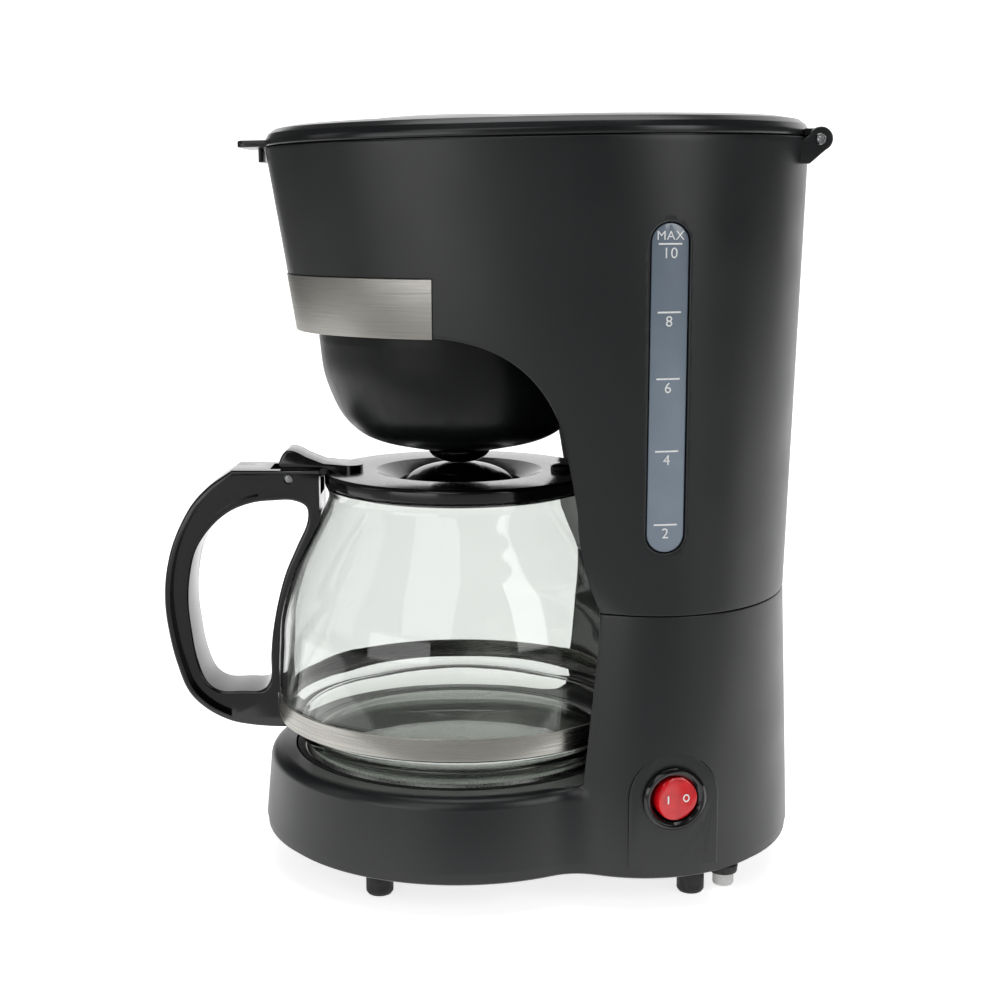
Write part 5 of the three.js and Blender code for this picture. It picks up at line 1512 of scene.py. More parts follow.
# ------------------------------------------------------------ switch and fittings
class COFFEE_OT_switch(bpy.types.Operator):
    """Builds the switch: its glossy ring, the red rocker and the on and off marks"""

    bl_idname = "coffee.switch"
    bl_label = "Switch"

    TIP = radians(9)

    def execute(self, context):
        take_sizes(context)
        x0 = mm.pad_x + mm.gap
        r = mm.rocker + mm.slide
        section = [
            (r, x0 + 1.0), (r + 0.9, x0 + 2.0), (mm.bezel - 1.1, x0 + 2.2), (mm.bezel, x0 + 1.2), (mm.bezel, x0),
            (9.8, x0), (9.8, x0 - 14), (0, x0 - 14), (0, x0 - 12), (r, x0 - 12), (r, x0 + 1.0),
        ]
        ring = crosswise(turned(rounded(section, 0.5, arc=4), 128), mm.switch_y, mm.switch_z)
        case = turn_with_pad(ring).build("case")
        piece(case, "switch_case_ring", "polished_black_phenolic", "body", ["switch_case"])
        face = x0 + 1.0
        out = mm.rocker - 0.2
        around = steps(0, TURN, 128)[:-1]
        rows = []
        for radius, x in ((0, face - 7), (out - 0.4, face - 7), (out, face - 5), (out, face - 0.3)):
            rows.append([self.tipped(radius * cos(a), radius * sin(a), x) for a in around])
        for share in (1, 0.93, 0.8, 0.6, 0.4, 0.2):
            rows.append([self.face_point((out - 0.5) * share, a) for a in around])
        shell = Shell().patch(rows).fan(rows[-1], self.face_point(0, 0))
        rocker = turn_with_pad(shell).build("rocker")
        piece(rocker, "switch_rocker_cap", "red_polycarbonate_rocker", "rocker", ["switch_rocker"])
        self.marks()
        return {"FINISHED"}

    def tipped(self, u, v, x):
        """A point of the rocker, u behind its middle and v above it, with the whole tipped to off."""
        axis = mm.pad_x - 3.4
        y = mm.switch_y + u * cos(self.TIP) + (x - axis) * sin(self.TIP)
        return Vector((axis + (x - axis) * cos(self.TIP) - u * sin(self.TIP), y, mm.switch_z + v))

    def face_point(self, r, a):
        """A point of the rocker's face, a shallow trough across the pivot that falls away at its rim."""
        u, v = r * cos(a), r * sin(a)
        x = mm.pad_x + mm.gap + 1.0 - 0.35 + u * u / 52
        x += 0.32 * (1 - clamp(r - 7.0)) if r > 7.4 else 0.32
        return self.tipped(u, v, x)

    def marks(self):
        """The printed bar and ring for on and off."""
        ink = Shell()
        rows = []
        for lift in (0.02, 0.06):
            corners = [(-3.9, -1.5), (-3.3, -1.5), (-3.3, 1.5), (-3.9, 1.5)]
            rows.append([self.on_rocker(u, v, lift) for u, v in corners])
        ink.patch(rows).cap(rows[0]).cap(rows[1])
        rows = []
        around = steps(0, TURN, 32)[:-1]
        for lift, r in ((0.02, 1.5), (0.06, 1.5), (0.06, 1.0), (0.02, 1.0), (0.02, 1.5)):
            rows.append([self.on_rocker(3.6 + r * 0.8 * cos(a), r * sin(a), lift) for a in around])
        ink.patch(rows)
        made = turn_with_pad(ink).build("ink")
        piece(made, "switch_rocker_print", "printed_white_ink", "rocker")

    def on_rocker(self, u, v, lift):
        """A point just above the rocker's face."""
        p = self.face_point(hypot(u, v), atan2(v, u))
        return p + Vector((cos(self.TIP), sin(self.TIP), 0)) * lift


class COFFEE_OT_cord_gland(bpy.types.Operator):
    """Builds the rubber gland of the cord outlet"""

    bl_idname = "coffee.cord_gland"
    bl_label = "Cord gland"

    def execute(self, context):
        take_sizes(context)
        low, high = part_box("cord_gland")
        front, back = low.y / MM - mm.axis_y, high.y / MM - mm.axis_y
        section = [(3.4, front), (7.2, front), (7.2, front + 2.4), (5.2, front + 2.4)]
        section += [(5.2, back), (3.4, back)]
        made = ring_of(rounded(section, 0.6, closed=True), 72)
        made.warp(lambda p: Vector((p.x + mm.gland_x, p.z, -p.y + mm.gland_z)))
        gland = made.build("gland")
        piece(gland, "cord_gland_ring", "moulded_black_rubber", "body", ["cord_gland"])
        return {"FINISHED"}


class COFFEE_OT_feet(bpy.types.Operator):
    """Builds the rubber feet, the pale plugs and the cover's screws"""

    bl_idname = "coffee.feet"
    bl_label = "Feet and screws"

    def execute(self, context):
        take_sizes(context)
        base = mm.skirt - 2.6
        for node in sorted(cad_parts):
            if not node.startswith(("foot_", "pale_plug_", "cover_screw_")):
                continue
            low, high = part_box(node)
            x = (low.x + high.x) / 2 / MM
            y = (low.y + high.y) / 2 / MM - mm.axis_y
            above = mm.skirt + mm.gap
            if node.startswith("foot_"):
                section = [(0, 0), (4.4, 0), (5.2, 1.2), (5.2, base - 0.35), (3, base - 0.35), (3, above)]
                section += [(4.4, above), (3.6, above + 2.4), (0, above + 2.4)]
                made = turned(rounded(section, 0.7), 72, x, y).build("foot")
                piece(made, f"{node}_rubber", "moulded_black_rubber", "body", [node])
            elif node.startswith("pale_plug_"):
                section = [(0, 3.2), (3.6, 3.2), (4, 4), (4, 8.2), (5.2, 8.2), (5.6, base - 0.35)]
                section += [(2.6, base - 0.35), (2.6, above), (3.6, above), (2.6, above + 2), (0, above + 2)]
                made = turned(rounded(section, 0.5), 72, x, y).build("plug")
                piece(made, f"{node}_rubber", "pale_moulded_rubber", "body", [node])
                made.data.materials.append(bpy.data.materials["moulded_black_rubber"])
                for face in made.data.polygons:
                    if face.center.z > 8.1 * MM:
                        face.material_index = 1
            else:
                head = base - 0.35
                section = [(0, head - 2.1), (2, head - 2.1), (3.2, head - 1.7), (3.6, head - 1), (3.6, head)]
                section += [(1.9, head), (1.9, base + 10), (0, base + 12)]
                made = turned(rounded(section, 0.3), 64, x, y).build("screw")
                for size in ((1.8, 0.4), (0.4, 1.8)):
                    slot = block(x - size[0], x + size[0], y - size[1], y + size[1], head - 4, head - 1.1)
                    carve(made, slot.build("slot"))
                piece(made, f"{node}_steel", "turned_hinge_steel", "body", [node])
        return {"FINISHED"}


# --------------------------------------------------------------------- carafe
def glass_surface(grow):
    """The side of the carafe's glass, grown outward, from the foot to the mouth."""
    r, low = mm.glass + grow, mm.glass_bottom - grow
    neck = mm.neck + grow
    foot = [(r - 15 + 9 * sin(a), low + 9 * (1 - cos(a))) for a in steps(0, pi / 2, 8)]
    body = [(r - 6, low + 9), (r - 3.2, 57.4 - 0.3 * grow), (r - 1.0, 59.4), (r, 61.6), (r + 0.2, 68)]
    body += [(r + 0.4, 78), (r - 0.1, 88), (r - 0.9, 98), (r - 5.6, 115), (r - 13.4, 131)]
    body += [(neck + 0.8, 143), (neck, 146.5), (neck + 1, mm.neck_top)]
    side = [tuple(p) for p in spline(body, 110)]
    return foot[:-1] + side


def pulled_lip(p):
    """Draws the rim out to the front into a pouring lip."""
    high = clamp((p.z - 136) / (mm.neck_top - 136))
    near = clamp(1 - abs(atan2(p.x, p.y)) / 0.42)
    pull = mm.lip * high * high * near * near * (3 - 2 * near)
    r = hypot(p.x, p.y)
    if r < 10 or pull == 0:
        return p
    return Vector((p.x * (r + pull) / r, p.y * (r + pull) / r, p.z))


class COFFEE_OT_carafe_glass(bpy.types.Operator):
    """Builds the glass carafe with its pouring lip, and the steel band round it"""

    bl_idname = "coffee.carafe_glass"
    bl_label = "Carafe glass"

    def execute(self, context):
        take_sizes(context)
        wall = mm.glass_wall
        low = mm.glass_bottom
        outer = [(0, low + 1.6), (16, low + 1.1), (30, low + 0.1)] + glass_surface(0)
        inner = glass_surface(-wall)[::-1]
        inner += [(30, low + wall + 0.2), (16, low + wall + 1.2), (0, low + wall + 1.6)]
        rim_out, rim_in = Vector(outer[-1]), Vector(inner[0])
        middle, half = (rim_out + rim_in) / 2, (rim_out - rim_in).length / 2
        rim = [(middle.x + half * cos(a), middle.y - 0.35 + 0.35 * sin(a)) for a in steps(0, pi, 10)]
        rim = [(rim_out.x, rim_out.y - 0.35)] + rim[1:-1] + [(rim_in.x, rim_in.y - 0.35)]
        profile = outer[:-1] + rim + inner[1:]
        body = turned(profile, 192).warp(pulled_lip).build("glass")
        finish = "borosilicate_glass"
        piece(body, "carafe_glass_bowl", finish, "carafe", ["carafe_glass"], crease=60)
        r = mm.glass + 0.45
        section = [(r, mm.band_bottom), (r + 0.7, mm.band_bottom), (r + 0.7, mm.band_top), (r, mm.band_top)]
        band = ring_of(rounded(section, 0.25, closed=True), 192).build("band")
        piece(band, "carafe_band_ring", "brushed_stainless_band", "carafe", ["carafe_band"])
        return {"FINISHED"}


def handle_outline():
    """The handle's outer line in the side view, from the lid round to the band."""
    out = [
        (16.8, 156.6), (27.1, 149.8), (34.5, 142.1), (41.3, 129.2), (44.8, 116.1), (45.7, 103.8), (44.4, 91.4),
        (41.6, 78.9), (37.2, 67.6), (29.7, 60.5), (20, 55.8), (11.9, 54.1), (3.2, 53.3),
    ]
    return [Vector((-mm.glass - p.x + 1.3 * clamp((p.x - 18) / 20), p.y)) for p in spline(out, 90)]


def grip_outline():
    """The opening that the fingers go through, in the side view."""
    out = [
        (-7, 144.7), (1, 144.7), (9, 143.8), (18.6, 140.1), (26.8, 133.2), (32.2, 125.1), (34.9, 114.5),
        (35.7, 103.8), (34.8, 93), (32.7, 80.6), (29, 71.6), (23.8, 68.2), (14.4, 68), (6.8, 68.4), (3.6, 72),
        (3, 83.1), (2.2, 91.4), (-0.1, 103.8), (-3.6, 116.1), (-8.2, 126.7), (-12.4, 136.5), (-12, 142.2),
    ]
    curve = spline(out, 200, closed=True)
    return [Vector((-mm.glass - p.x + 0.7 * clamp((p.x - 12) / 18), p.y)) for p in curve]


class COFFEE_OT_carafe_handle(bpy.types.Operator):
    """Builds the carafe's handle with its finger opening and recessed sides"""

    bl_idname = "coffee.carafe_handle"
    bl_label = "Carafe handle"

    def execute(self, context):
        take_sizes(context)
        half = mm.handle_width / 2
        outline = handle_outline()
        outline += [Vector((-mm.neck, outline[-1].y)), Vector((-mm.neck, mm.lid_top + 1))]
        body = slab(outline, -half, half, 1.1, arc=5).build("handle")
        carve(body, self.flared(grip_outline(), half, 1.2).build("opening"))
        surface = [(0, mm.glass_bottom - THROUGH)] + glass_surface(mm.gap + 0.1)
        surface += [(mm.neck + 3, mm.lid_top + 9), (0, mm.lid_top + 9)]
        carve(body, turned(surface, 160).build("glass"))
        r = mm.glass + 1.5
        carve(body, post(r, mm.band_bottom - mm.gap, mm.band_top + mm.gap, segments=160).build("band"))
        back = -mm.lid - 1.2
        carve(body, block(-40, 40, back, 10, mm.lid_top - 30, mm.lid_top + 30).build("lid"))
        self.recess(body, outline, half)
        tongue = block(-7.6, 7.6, mm.pin_y - 7.8, back + 10, mm.pin_z - 7, mm.lid_top + 20, 0.6)
        carve(body, tongue.build("tongue"))
        carve(body, bar(1.9, -half - 1, half + 1, mm.pin_y, mm.pin_z).build("bore"))
        finish = "polished_black_phenolic"
        piece(body, "carafe_handle_grip", finish, "carafe", ["carafe_handle"])
        pin = bar(1.6, -half + 0.6, half - 0.6, mm.pin_y, mm.pin_z, 0.25).build("pin")
        piece(pin, "carafe_lid_pin_rod", "turned_hinge_steel", "carafe", ["carafe_lid_pin"])
        return {"FINISHED"}

    def flared(self, outline, half, edge):
        """A cutter through the handle that rounds the rims it leaves."""
        turns = [(edge + 1.0, -edge - THROUGH), (edge, -0.001)]
        turns += [(edge * (1 - sin(a)), edge * (1 - cos(a))) for a in steps(0, pi / 2, 5)][1:]
        return stacked(outline, -half, half, turns)

    def recess(self, body, outline, half):
        """The shallow hollows in the handle's two sides, inside a raised border."""
        border, depth = 2.2, 4.0
        front, low_front = -78.0, -90.7
        for side in (-1, 1):
            x0, x1 = sorted((side * (half - depth), side * (half + THROUGH)))
            tool = slab([Vector(p) for p in grown(outline, -border)], x0, x1).build("recess")
            keep = slab([Vector(p) for p in grown(grip_outline(), border)], x0 - 1, x1 + 1).build("keep")
            carve(tool, keep)
            carve(tool, block(x0 - 1, x1 + 1, front, 0, 0, mm.lid_top + 40).build("front"))
            carve(tool, block(x0 - 1, x1 + 1, low_front, 0, 0, mm.band_top + 5).build("low"))
            carve(body, tool)


class COFFEE_OT_carafe_lid(bpy.types.Operator):
    """Builds the carafe's lid with its dome, thumb lever and hinge tongue"""

    bl_idname = "coffee.carafe_lid"
    bl_label = "Carafe lid"

    def execute(self, context):
        take_sizes(context)
        top = mm.lid_top
        z0 = mm.neck_top + mm.gap
        low = z0 - 2.15
        r, dish, slot = mm.lid, mm.lid - 20.1, mm.lid - 28.5
        skirt = mm.neck - mm.glass_wall - 2.8
        ring = [
            (slot, low + 1), (slot + 2, low), (skirt, low), (skirt, z0), (r, z0), (r, top - 1), (r - 1, top),
            (dish, top), (dish - 5, top - 2.6), (slot, top - 4.6),
        ]
        body = ring_of(rounded(ring, 0.9, closed=True, arc=4), 160).build("lid")
        dome_r, dome_z = slot - 3.1, low + 2
        dome = [(0, low), (dome_r, low)]
        dome += [(dome_r * cos(a), dome_z + 8.4 * sin(a)) for a in steps(0, pi / 2, 24)]
        join(body, turned(dome, 128).build("dome"))
        for k in range(4):
            a = TURN * (k + 0.5) / 4
            c, s = cos(a), sin(a)
            rib = block(20, slot + 1.5, -2, 2, low, low + 1.8, 0.3)
            rib.warp(lambda p, c=c, s=s: Vector((p.x * c - p.y * s, p.x * s + p.y * c, p.z)))
            join(body, rib.build("rib"))
        nub = block(-5, 5, r - 17, r - 9, top - 1, top + 2.2, 1.0)
        lever = self.lever().build("lever")
        end = mm.pin_y + 28.2
        shape = post(9, top - 3, top + 12, 0, end - 9).build("tip")
        join(shape, block(-9.5, 9.5, end - 44, end - 9, top - 3, top + 12).build("shank"))
        carve(lever, shape, operation="INTERSECT")
        join(body, nub.build("nub"), lever, self.tongue().build("tongue"))
        carve(body, bar(1.95, -9, 9, mm.pin_y, mm.pin_z).build("bore"))
        piece(body, "carafe_lid_cover", "satin_black_phenolic", "carafe", ["carafe_lid"])
        return {"FINISHED"}

    def lever(self):
        """The thumb lever that stands up over the hinge."""
        y, z = mm.pin_y, mm.lid_top
        line = [(y + 28.2, z - 1), (y + 18.2, z - 1), (y + 14.2, z + 1.4), (y - 3.8, z + 1.4)]
        line.append((y - 4.3, z + 3))
        crest = (y - 0.3, z + 8.6)
        for a, b, c in ((line[-1], (y - 2.8, z + 8.3), crest), (crest, (y + 2.2, z + 8.6), (y + 6.2, z + 6.1))):
            for t in steps(0, 1, 8)[1:]:
                line.append(tuple(lerp(lerp(p, q, t), lerp(q, w, t), t) for p, q, w in zip(a, b, c)))
        line += [(y + 13.2, z + 3.3), (y + 28.2, z + 2.1)]
        return slab([Vector(p) for p in line], -9, 9, 0.8, arc=4)

    def tongue(self):
        """The tongue that swings on the handle's pin."""
        y, z, top = mm.pin_y, mm.pin_z, mm.lid_top
        line = [(y + 16.2, top + 2), (y - 3.4, top + 2), (y - 3.4, z)]
        line += [(y + 3.4 * cos(a), z + 3.4 * sin(a)) for a in steps(pi, 1.75 * pi, 14)[1:]]
        line += [(y + 16.2, top - 1)]
        return slab([Vector(p) for p in line], -7, 7, 0.3, arc=2)


# ------------------------------------------------------------------- materials
COLOUR_A, COLOUR_B, COLOUR_OUT = 6, 7, 2  # the sockets of a Mix node that hold colours


def add_node(tree, kind, inputs=None, **settings):
    """Adds a shader node, sets its properties, and fills or links its inputs."""
    node = tree.nodes.new(kind)
    for key, value in settings.items():
        setattr(node, key, value)
    for key, value in (inputs or {}).items():
        if isinstance(value, bpy.types.NodeSocket):
            tree.links.new(value, node.inputs[key])
        else:
            node.inputs[key].default_value = value
    return node


def new_material(name, **values):
    """A material with its shader's plain values set."""
    material = bpy.data.materials.new(name)
    material.use_nodes = True
    shader = material.node_tree.nodes["Principled BSDF"]
    for key, value in values.items():
        shader.inputs[key.replace("_", " ")].default_value = value
    return material.node_tree, shader


def coordinates(tree):
    """The x, y and z of the point on the object, in metres."""
    place = add_node(tree, "ShaderNodeTexCoord").outputs["Object"]
    return add_node(tree, "ShaderNodeSeparateXYZ", {"Vector": place}).outputs


def grain(tree, size, detail=2.0, stretch=(1, 1, 1)):
    """An irregular pattern with features of that size in metres, stretched along the axes."""
    place = add_node(tree, "ShaderNodeTexCoord").outputs["Object"]
    scaled = add_node(tree, "ShaderNodeVectorMath", {0: place, 1: stretch}, operation="MULTIPLY")
    inputs = {"Vector": scaled.outputs[0], "Scale": 1 / size, "Detail": detail}
    return add_node(tree, "ShaderNodeTexNoise", inputs).outputs["Fac"]


def brought(value, low, high, start=0.3, end=0.7):
    """Inputs that bring a pattern's start..end to low..high."""
    return {"Value": value, "From Min": start, "From Max": end, "To Min": low, "To Max": high}


def darker(base, share):
    """A share of a colour."""
    return tuple(c * share for c in base[:3]) + (1.0,)


def surface(tree, shader, base, second, shades, rough=None, relief=None):
    """Makes a finish uneven: patterns that mottle base towards a second colour, one that moves the
    roughness, each as (pattern, low, high), and one in relief, as (pattern, height in metres, strength)."""
    amount = None
    for shade in shades:
        share = add_node(tree, "ShaderNodeMapRange", brought(*shade)).outputs["Result"]
        if amount:
            share = add_node(tree, "ShaderNodeMath", {0: amount, 1: share}, operation="ADD").outputs[0]
        amount = share
    inputs = {"Factor": amount, COLOUR_A: base, COLOUR_B: second}
    mix = add_node(tree, "ShaderNodeMix", inputs, data_type="RGBA")
    tree.links.new(mix.outputs[COLOUR_OUT], shader.inputs["Base Color"])
    if rough:
        moved = add_node(tree, "ShaderNodeMapRange", brought(*rough))
        tree.links.new(moved.outputs["Result"], shader.inputs["Roughness"])
    if relief:
        height, distance, strength = relief
        inputs = {"Height": height, "Distance": distance, "Strength": strength}
        raised = add_node(tree, "ShaderNodeBump", inputs)
        tree.links.new(raised.outputs["Normal"], shader.inputs["Normal"])


class COFFEE_OT_materials(bpy.types.Operator):
    """Makes every finish used on the coffee maker"""

    bl_idname = "coffee.materials"
    bl_label = "Materials"

    def execute(self, context):
        finish = context.scene.coffee_finish
        self.abs_housing("moulded_abs_charcoal", tuple(finish.housing), 0.34)
        self.abs_housing("moulded_abs_lid", tuple(finish.lid), 0.22)
        self.phenolic("polished_black_phenolic", tuple(finish.gloss), 0.11)
        self.phenolic("satin_black_phenolic", tuple(finish.gloss), 0.13)
        self.polypropylene("moulded_polypropylene_bowl", tuple(finish.bowl))
        self.brushed_steel("brushed_stainless_trim", tuple(finish.steel), 0.34)
        self.brushed_steel("brushed_stainless_band", tuple(finish.steel), 0.24)
        self.turned_steel("turned_hinge_steel")
        self.turned_steel("drawn_spring_steel")
        self.nylon("woven_nylon_filter")
        self.window("tinted_polystyrene_window", tuple(finish.window))
        self.ink("printed_white_ink")
        self.rocker("red_polycarbonate_rocker", tuple(finish.rocker))
        self.glass("borosilicate_glass", tuple(finish.glass))
        self.coating("coated_hot_plate", tuple(finish.plate))
        self.aluminium("cast_heater_aluminium")
        self.rubber("moulded_black_rubber", tuple(finish.rubber), 0.62)
        self.rubber("pale_moulded_rubber", tuple(finish.pale), 0.55)
        self.silicone("translucent_silicone")
        return {"FINISHED"}

    def abs_housing(self, name, base, rough):
        # Satin ABS from a finely spark-eroded tool: a broad soft sheen with a faint grain. The real
        # grain is about 0.1 mm; it is drawn at 0.35 mm so that it still reads at this distance.
        tree, shader = new_material(name, Base_Color=base, IOR=1.53, Roughness=rough)
        spark = grain(tree, 0.00035, 3)
        sheen = (grain(tree, 0.03), rough - 0.03, rough + 0.04)
        surface(tree, shader, base, darker(base, 0.8), [(spark, 0, 1)], sheen, (spark, 0.00002, 0.5))

    def phenolic(self, name, base, rough):
        # Polished black phenolic: near-mirror reflections, with the slight waviness of a moulding and
        # the fine wipe marks that dull the gloss in patches.
        tree, shader = new_material(name, Base_Color=base, IOR=1.56, Roughness=rough)
        wipe = grain(tree, 0.0016, 3, (1, 1, 0.2))
        gloss = (wipe, rough * 0.8, rough * 1.4)
        wave = (grain(tree, 0.012, 1), 0.00008, 0.25)
        surface(tree, shader, base, darker(base, 0.7), [(wipe, 0, 1)], gloss, wave)

    def polypropylene(self, name, base):
        # Semi-matt polypropylene: a waxy sheen, softer than ABS, with slight flow marks.
        tree, shader = new_material(name, Base_Color=base, IOR=1.49, Roughness=0.36, Specular_IOR_Level=0.3)
        flow = grain(tree, 0.004, 3, (1, 1, 0.35))
        fine = (grain(tree, 0.0006), 0.00002, 0.4)
        surface(tree, shader, base, darker(base, 0.82), [(flow, 0, 1)], (flow, 0.3, 0.4), fine)

    def brushed_steel(self, name, base, rough):
        # Stainless steel brushed round its length: long soft streaks that stretch the reflections
        # upward. A brush line is about 0.05 mm; it is drawn at 0.3 mm so that it can be seen.
        tree, shader = new_material(name, Base_Color=base, Metallic=1.0, Roughness=rough, Anisotropic=0.6)
        brush = grain(tree, 0.0003, 3, (0.012, 0.012, 1))
        shades = [(brush, 0, 0.7), (grain(tree, 0.02), 0, 0.3)]
        sheen = (brush, rough - 0.07, rough + 0.09)
        surface(tree, shader, base, darker(base, 0.72), shades, sheen, (brush, 0.00001, 0.5))

    def turned_steel(self, name):
        # Zinc-plated steel turned on a lathe: bright and cool, with fine rings.
        base = linear("#a9abad")
        tree, shader = new_material(name, Base_Color=base, Metallic=1.0, Roughness=0.28)
        rings = grain(tree, 0.0004, 3, (0.05, 1, 1))
        surface(tree, shader, base, darker(base, 0.75), [(rings, 0, 1)], (rings, 0.2, 0.38))

    def nylon(self, name):
        # Woven nylon filter cloth: pale gold threads with dark openings between them. The real weave
        # is 0.3 mm; it is drawn at 0.8 mm so that it does not blur to one tone.
        base = linear("#b79a5a")
        threads_round, weave = 300.0, 0.0008
        tree, shader = new_material(name, Base_Color=base, IOR=1.53, Roughness=0.55)
        x, y, z = coordinates(tree)
        turn = add_node(tree, "ShaderNodeMath", {0: x, 1: y}, operation="ARCTAN2").outputs[0]
        waves = {}
        for k, (value, scale) in enumerate(((turn, threads_round), (z, TURN / weave))):
            phase = add_node(tree, "ShaderNodeMath", {0: value, 1: scale}, operation="MULTIPLY").outputs[0]
            waves[k] = add_node(tree, "ShaderNodeMath", {0: phase}, operation="SINE").outputs[0]
        cloth = add_node(tree, "ShaderNodeMath", waves, operation="MAXIMUM").outputs[0]
        openings = (cloth, 1, 0, -0.4, 0.6)
        surface(tree, shader, base, darker(base, 0.12), [openings], relief=(cloth, 0.0001, 0.5))

    def window(self, name, base):
        # Tinted clear polystyrene over a dark tank: a smoky blue-grey face with a glossy skin, a shade
        # darker behind the upper part where the float channel runs.
        tree, shader = new_material(name, Base_Color=base, IOR=1.59, Roughness=0.16, Coat_Weight=0.4)
        haze = grain(tree, 0.01)
        shades = [(coordinates(tree)[2], 0.0, 0.75, 0.17, 0.25), (haze, 0, 0.25)]
        surface(tree, shader, base, darker(base, 0.72), shades, (haze, 0.13, 0.2))

    def ink(self, name):
        # Pad-printed white ink: flat and slightly uneven.
        base = linear("#ffffff")
        tree, shader = new_material(name, Base_Color=base, IOR=1.5, Roughness=0.5)
        surface(tree, shader, base, darker(base, 0.85), [(grain(tree, 0.0008), 0, 1)])

    def rocker(self, name, base):
        # Translucent red polycarbonate: light gathers in it, so the face glows and the edges go deep.
        tree, shader = new_material(name, Base_Color=base, IOR=1.585, Roughness=0.14, Subsurface_Weight=0.35)
        shader.inputs["Subsurface Radius"].default_value = (0.004, 0.0006, 0.0004)
        shader.inputs["Subsurface Scale"].default_value = 1.0
        cloud = grain(tree, 0.004)
        surface(tree, shader, base, darker(base, 0.6), [(cloud, 0, 0.6)], (cloud, 0.1, 0.18))

    def glass(self, name, base):
        # Blown borosilicate: clear, with a hint of green where it is seen edge-on through the thick
        # foot, and the slight unevenness of blown glass.
        tree, shader = new_material(name, Base_Color=base, IOR=1.47, Roughness=0.0, Transmission_Weight=1.0)
        foot = (coordinates(tree)[2], 1.0, 0.0, 0.047, 0.056)
        surface(tree, shader, base, linear("#c9cfc6"), [foot], relief=(grain(tree, 0.02, 1), 0.00015, 0.15))

    def coating(self, name, base):
        # Metallic coating sprayed on the hot plate: pale and satin, with a fine orange-peel texture.
        tree, shader = new_material(name, Base_Color=base, Metallic=1.0, Roughness=0.3)
        peel = grain(tree, 0.0007)
        sheen, relief = (peel, 0.24, 0.36), (peel, 0.00004, 0.5)
        surface(tree, shader, base, darker(base, 0.75), [(peel, 0, 1)], sheen, relief)

    def aluminium(self, name):
        # As-cast aluminium: pale and grainy, with dull patches of oxide.
        base = linear("#b5b7b8")
        tree, shader = new_material(name, Base_Color=base, Metallic=1.0, Roughness=0.45)
        cast = grain(tree, 0.0012, 4)
        sheen, relief = (cast, 0.35, 0.6), (cast, 0.00008, 0.5)
        surface(tree, shader, base, darker(base, 0.7), [(cast, 0, 1)], sheen, relief)

    def rubber(self, name, base, rough):
        # Moulded rubber: matt, with a dusty bloom in patches.
        tree, shader = new_material(name, Base_Color=base, IOR=1.52, Roughness=rough)
        bloom = grain(tree, 0.002, 3)
        matt = (bloom, rough - 0.08, rough + 0.1)
        surface(tree, shader, base, darker(base, 0.8), [(bloom, 0, 1)], matt, (bloom, 0.00003, 0.4))

    def silicone(self, name):
        # Translucent silicone: milky, with light carried into the wall.
        base = linear("#d9dbd8")
        tree, shader = new_material(name, Base_Color=base, IOR=1.41, Roughness=0.35, Subsurface_Weight=0.4)
        shader.inputs["Subsurface Radius"].default_value = (0.002, 0.002, 0.002)
        cloud = grain(tree, 0.003)
        surface(tree, shader, base, darker(base, 0.88), [(cloud, 0, 1)], (cloud, 0.3, 0.42))


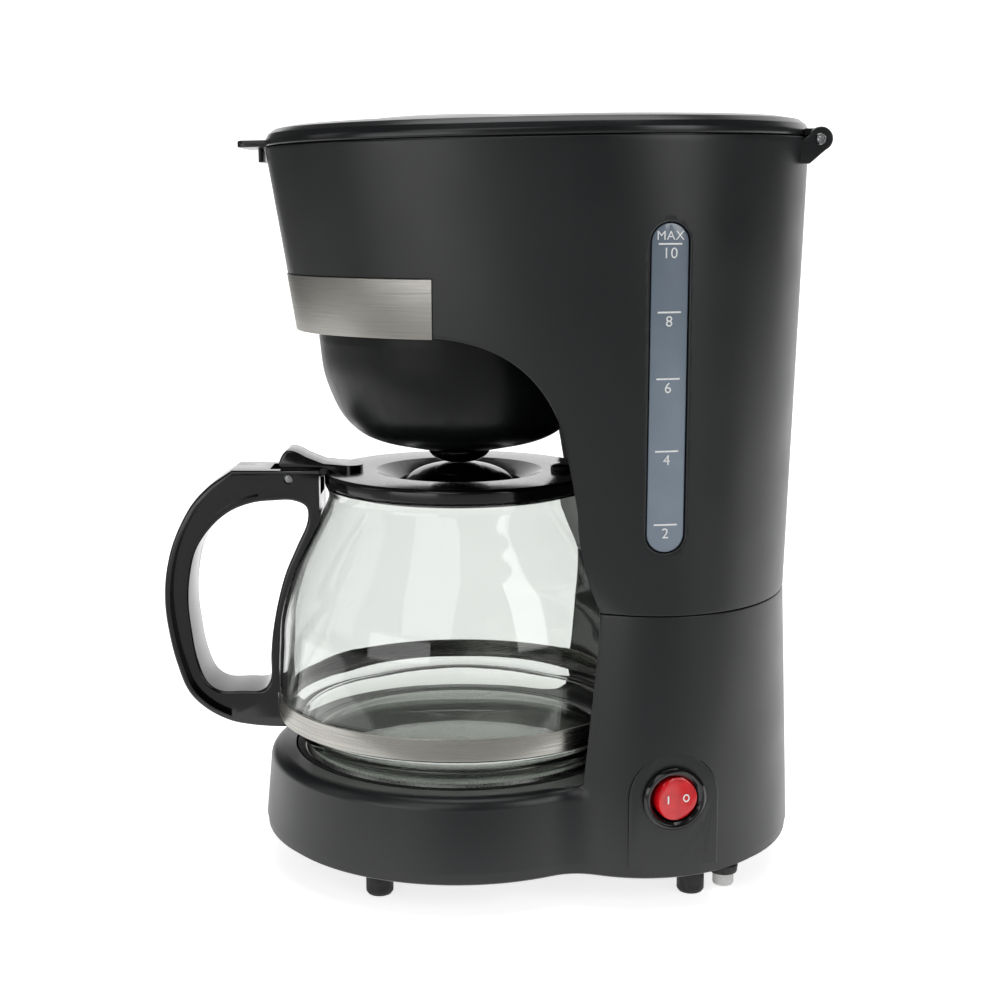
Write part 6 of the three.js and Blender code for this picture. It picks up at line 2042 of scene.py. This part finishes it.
# ----------------------------------------------------------------------- stage
class COFFEE_OT_stage(bpy.types.Operator):
    """Sets the pale backdrop, the soft lights and the camera"""

    bl_idname = "coffee.stage"
    bl_label = "Stage, lights and camera"

    def execute(self, context):
        scene = context.scene
        # Matt seamless paper: an even white with almost no grain, lit through so that it stays white.
        paper = linear("#f4f4f4")
        tree, shader = new_material("seamless_white_paper", Base_Color=paper, Roughness=0.7)
        shader.inputs["Emission Color"].default_value = (1, 1, 1, 1)
        shader.inputs["Emission Strength"].default_value = 0.75
        fibre = grain(tree, 0.002)
        surface(tree, shader, paper, darker(paper, 0.995), [(fibre, 0, 1)], relief=(fibre, 0.00002, 0.1))
        # Painted board: a flat pale grey, seen only past the edges of the paper.
        paint = linear("#e2e2e1")
        tree, shader = new_material("painted_floor_board", Base_Color=paint, Roughness=0.6)
        surface(tree, shader, paint, darker(paint, 0.985), [(grain(tree, 0.01), 0, 1)])
        self.backdrop()
        middle = Vector((0, 0, 0.14))
        self.light("key", (1.5, -0.55, 1.1), middle, 1.1, 1.3, 5.5)
        self.light("card", (1.0, -0.75, 0.12), middle, 0.9, 0.45, 2.5)
        self.light("fill", (1.2, 1.3, 0.8), middle, 0.7, 1.2, 7)
        self.light("top", (0.0, 0.1, 1.7), middle, 1.2, 1.2, 10)
        self.light("left", (0.3, -1.6, 0.8), middle, 0.6, 1.2, 1.5)
        scene.world = scene.world or bpy.data.worlds.new("studio")
        scene.world.use_nodes = True
        background = scene.world.node_tree.nodes["Background"]
        background.inputs["Color"].default_value = (1, 1, 1, 1)
        background.inputs["Strength"].default_value = 0.1
        scene.view_settings.view_transform = "Standard"
        self.camera(scene)
        return {"FINISHED"}

    def backdrop(self):
        """A sheet of paper that curves up behind the coffee maker, seen from the camera."""
        rows = []
        line = [(0.17, 0.0), (-1.0, 0.0)]
        line += [(-1.0 - 0.8 * sin(a), 0.8 - 0.8 * cos(a)) for a in steps(0, pi / 2, 24)[1:]]
        line += [(-1.8, 2.6)]
        for x, z in line:
            rows.append([Vector((x / MM, y / MM - mm.axis_y, z / MM)) for y in steps(-0.8, 2.6, 16)])
        sheet = Shell().patch(rows, loop=False).build("backdrop_paper")
        sheet.data.materials.append(bpy.data.materials["seamless_white_paper"])
        sheet.data.shade_smooth()
        reach, under = 4000, -1.5
        rows = [[Vector((x, y, under)) for y in steps(-reach, reach, 8)] for x in steps(-reach, reach, 8)]
        floor = Shell().patch(rows, loop=False).build("floor_board")
        floor.data.materials.append(bpy.data.materials["painted_floor_board"])

    def light(self, name, place, target, wide, high, power):
        """A soft box aimed at the coffee maker."""
        lamp = bpy.data.lights.new(name, "AREA")
        lamp.shape = "RECTANGLE"
        lamp.size, lamp.size_y, lamp.energy = wide, high, power
        made = bpy.data.objects.new(name, lamp)
        made.location = place
        made.rotation_euler = (target - Vector(place)).to_track_quat("-Z", "Y").to_euler()
        bpy.context.scene.collection.objects.link(made)

    def camera(self, scene):
        """The camera, level with the brew head and looking square on to the side."""
        lens = bpy.data.cameras.new("camera")
        lens.lens = 61.2
        lens.sensor_width = 36.0
        lens.dof.use_dof = False
        made = bpy.data.objects.new("camera", lens)
        made.location = (0.66525, 0.00564, 0.25763)
        made.rotation_euler = (radians(90 - 9.779), 0, radians(90))
        scene.collection.objects.link(made)
        scene.camera = made


OPERATORS = (
    COFFEE_OT_materials,
    COFFEE_OT_upper_housing,
    COFFEE_OT_lower_housing,
    COFFEE_OT_bottom_cover,
    COFFEE_OT_steel_trim,
    COFFEE_OT_level_window,
    COFFEE_OT_brew_bowl,
    COFFEE_OT_filter,
    COFFEE_OT_drip_valve,
    COFFEE_OT_lid,
    COFFEE_OT_hot_plate,
    COFFEE_OT_water_parts,
    COFFEE_OT_inner_parts,
    COFFEE_OT_switch,
    COFFEE_OT_cord_gland,
    COFFEE_OT_feet,
    COFFEE_OT_carafe_glass,
    COFFEE_OT_carafe_handle,
    COFFEE_OT_carafe_lid,
    COFFEE_OT_stage,
)


class COFFEE_PT_panel(bpy.types.Panel):
    """Lists the coffee maker's sizes, finishes and steps"""

    bl_label = "Drip Coffee Maker"
    bl_idname = "COFFEE_PT_panel"
    bl_space_type = "VIEW_3D"
    bl_region_type = "UI"
    bl_category = "Coffee"

    def draw(self, context):
        for key in PROPERTY_GROUPS:
            group = getattr(context.scene, key)
            box = self.layout.box()
            for name in type(group).__annotations__:
                box.prop(group, name)
        for operator in OPERATORS:
            self.layout.operator(operator.bl_idname)


def register():
    for key, group in PROPERTY_GROUPS.items():
        bpy.utils.register_class(group)
        setattr(bpy.types.Scene, key, PointerProperty(type=group))
    for operator in OPERATORS:
        bpy.utils.register_class(operator)
    bpy.utils.register_class(COFFEE_PT_panel)


def unregister():
    bpy.utils.unregister_class(COFFEE_PT_panel)
    for operator in reversed(OPERATORS):
        bpy.utils.unregister_class(operator)
    for key, group in PROPERTY_GROUPS.items():
        delattr(bpy.types.Scene, key)
        bpy.utils.unregister_class(group)


def main():
    for name in ("Cube", "Light", "Camera"):
        if name in bpy.data.objects:
            bpy.data.objects.remove(bpy.data.objects[name])
    register()
    for operator in OPERATORS:
        area, name = operator.bl_idname.split(".")
        if getattr(getattr(bpy.ops, area), name)() != {"FINISHED"}:
            raise RuntimeError(f"{name} did not finish")


if __name__ == "__main__":
    main()
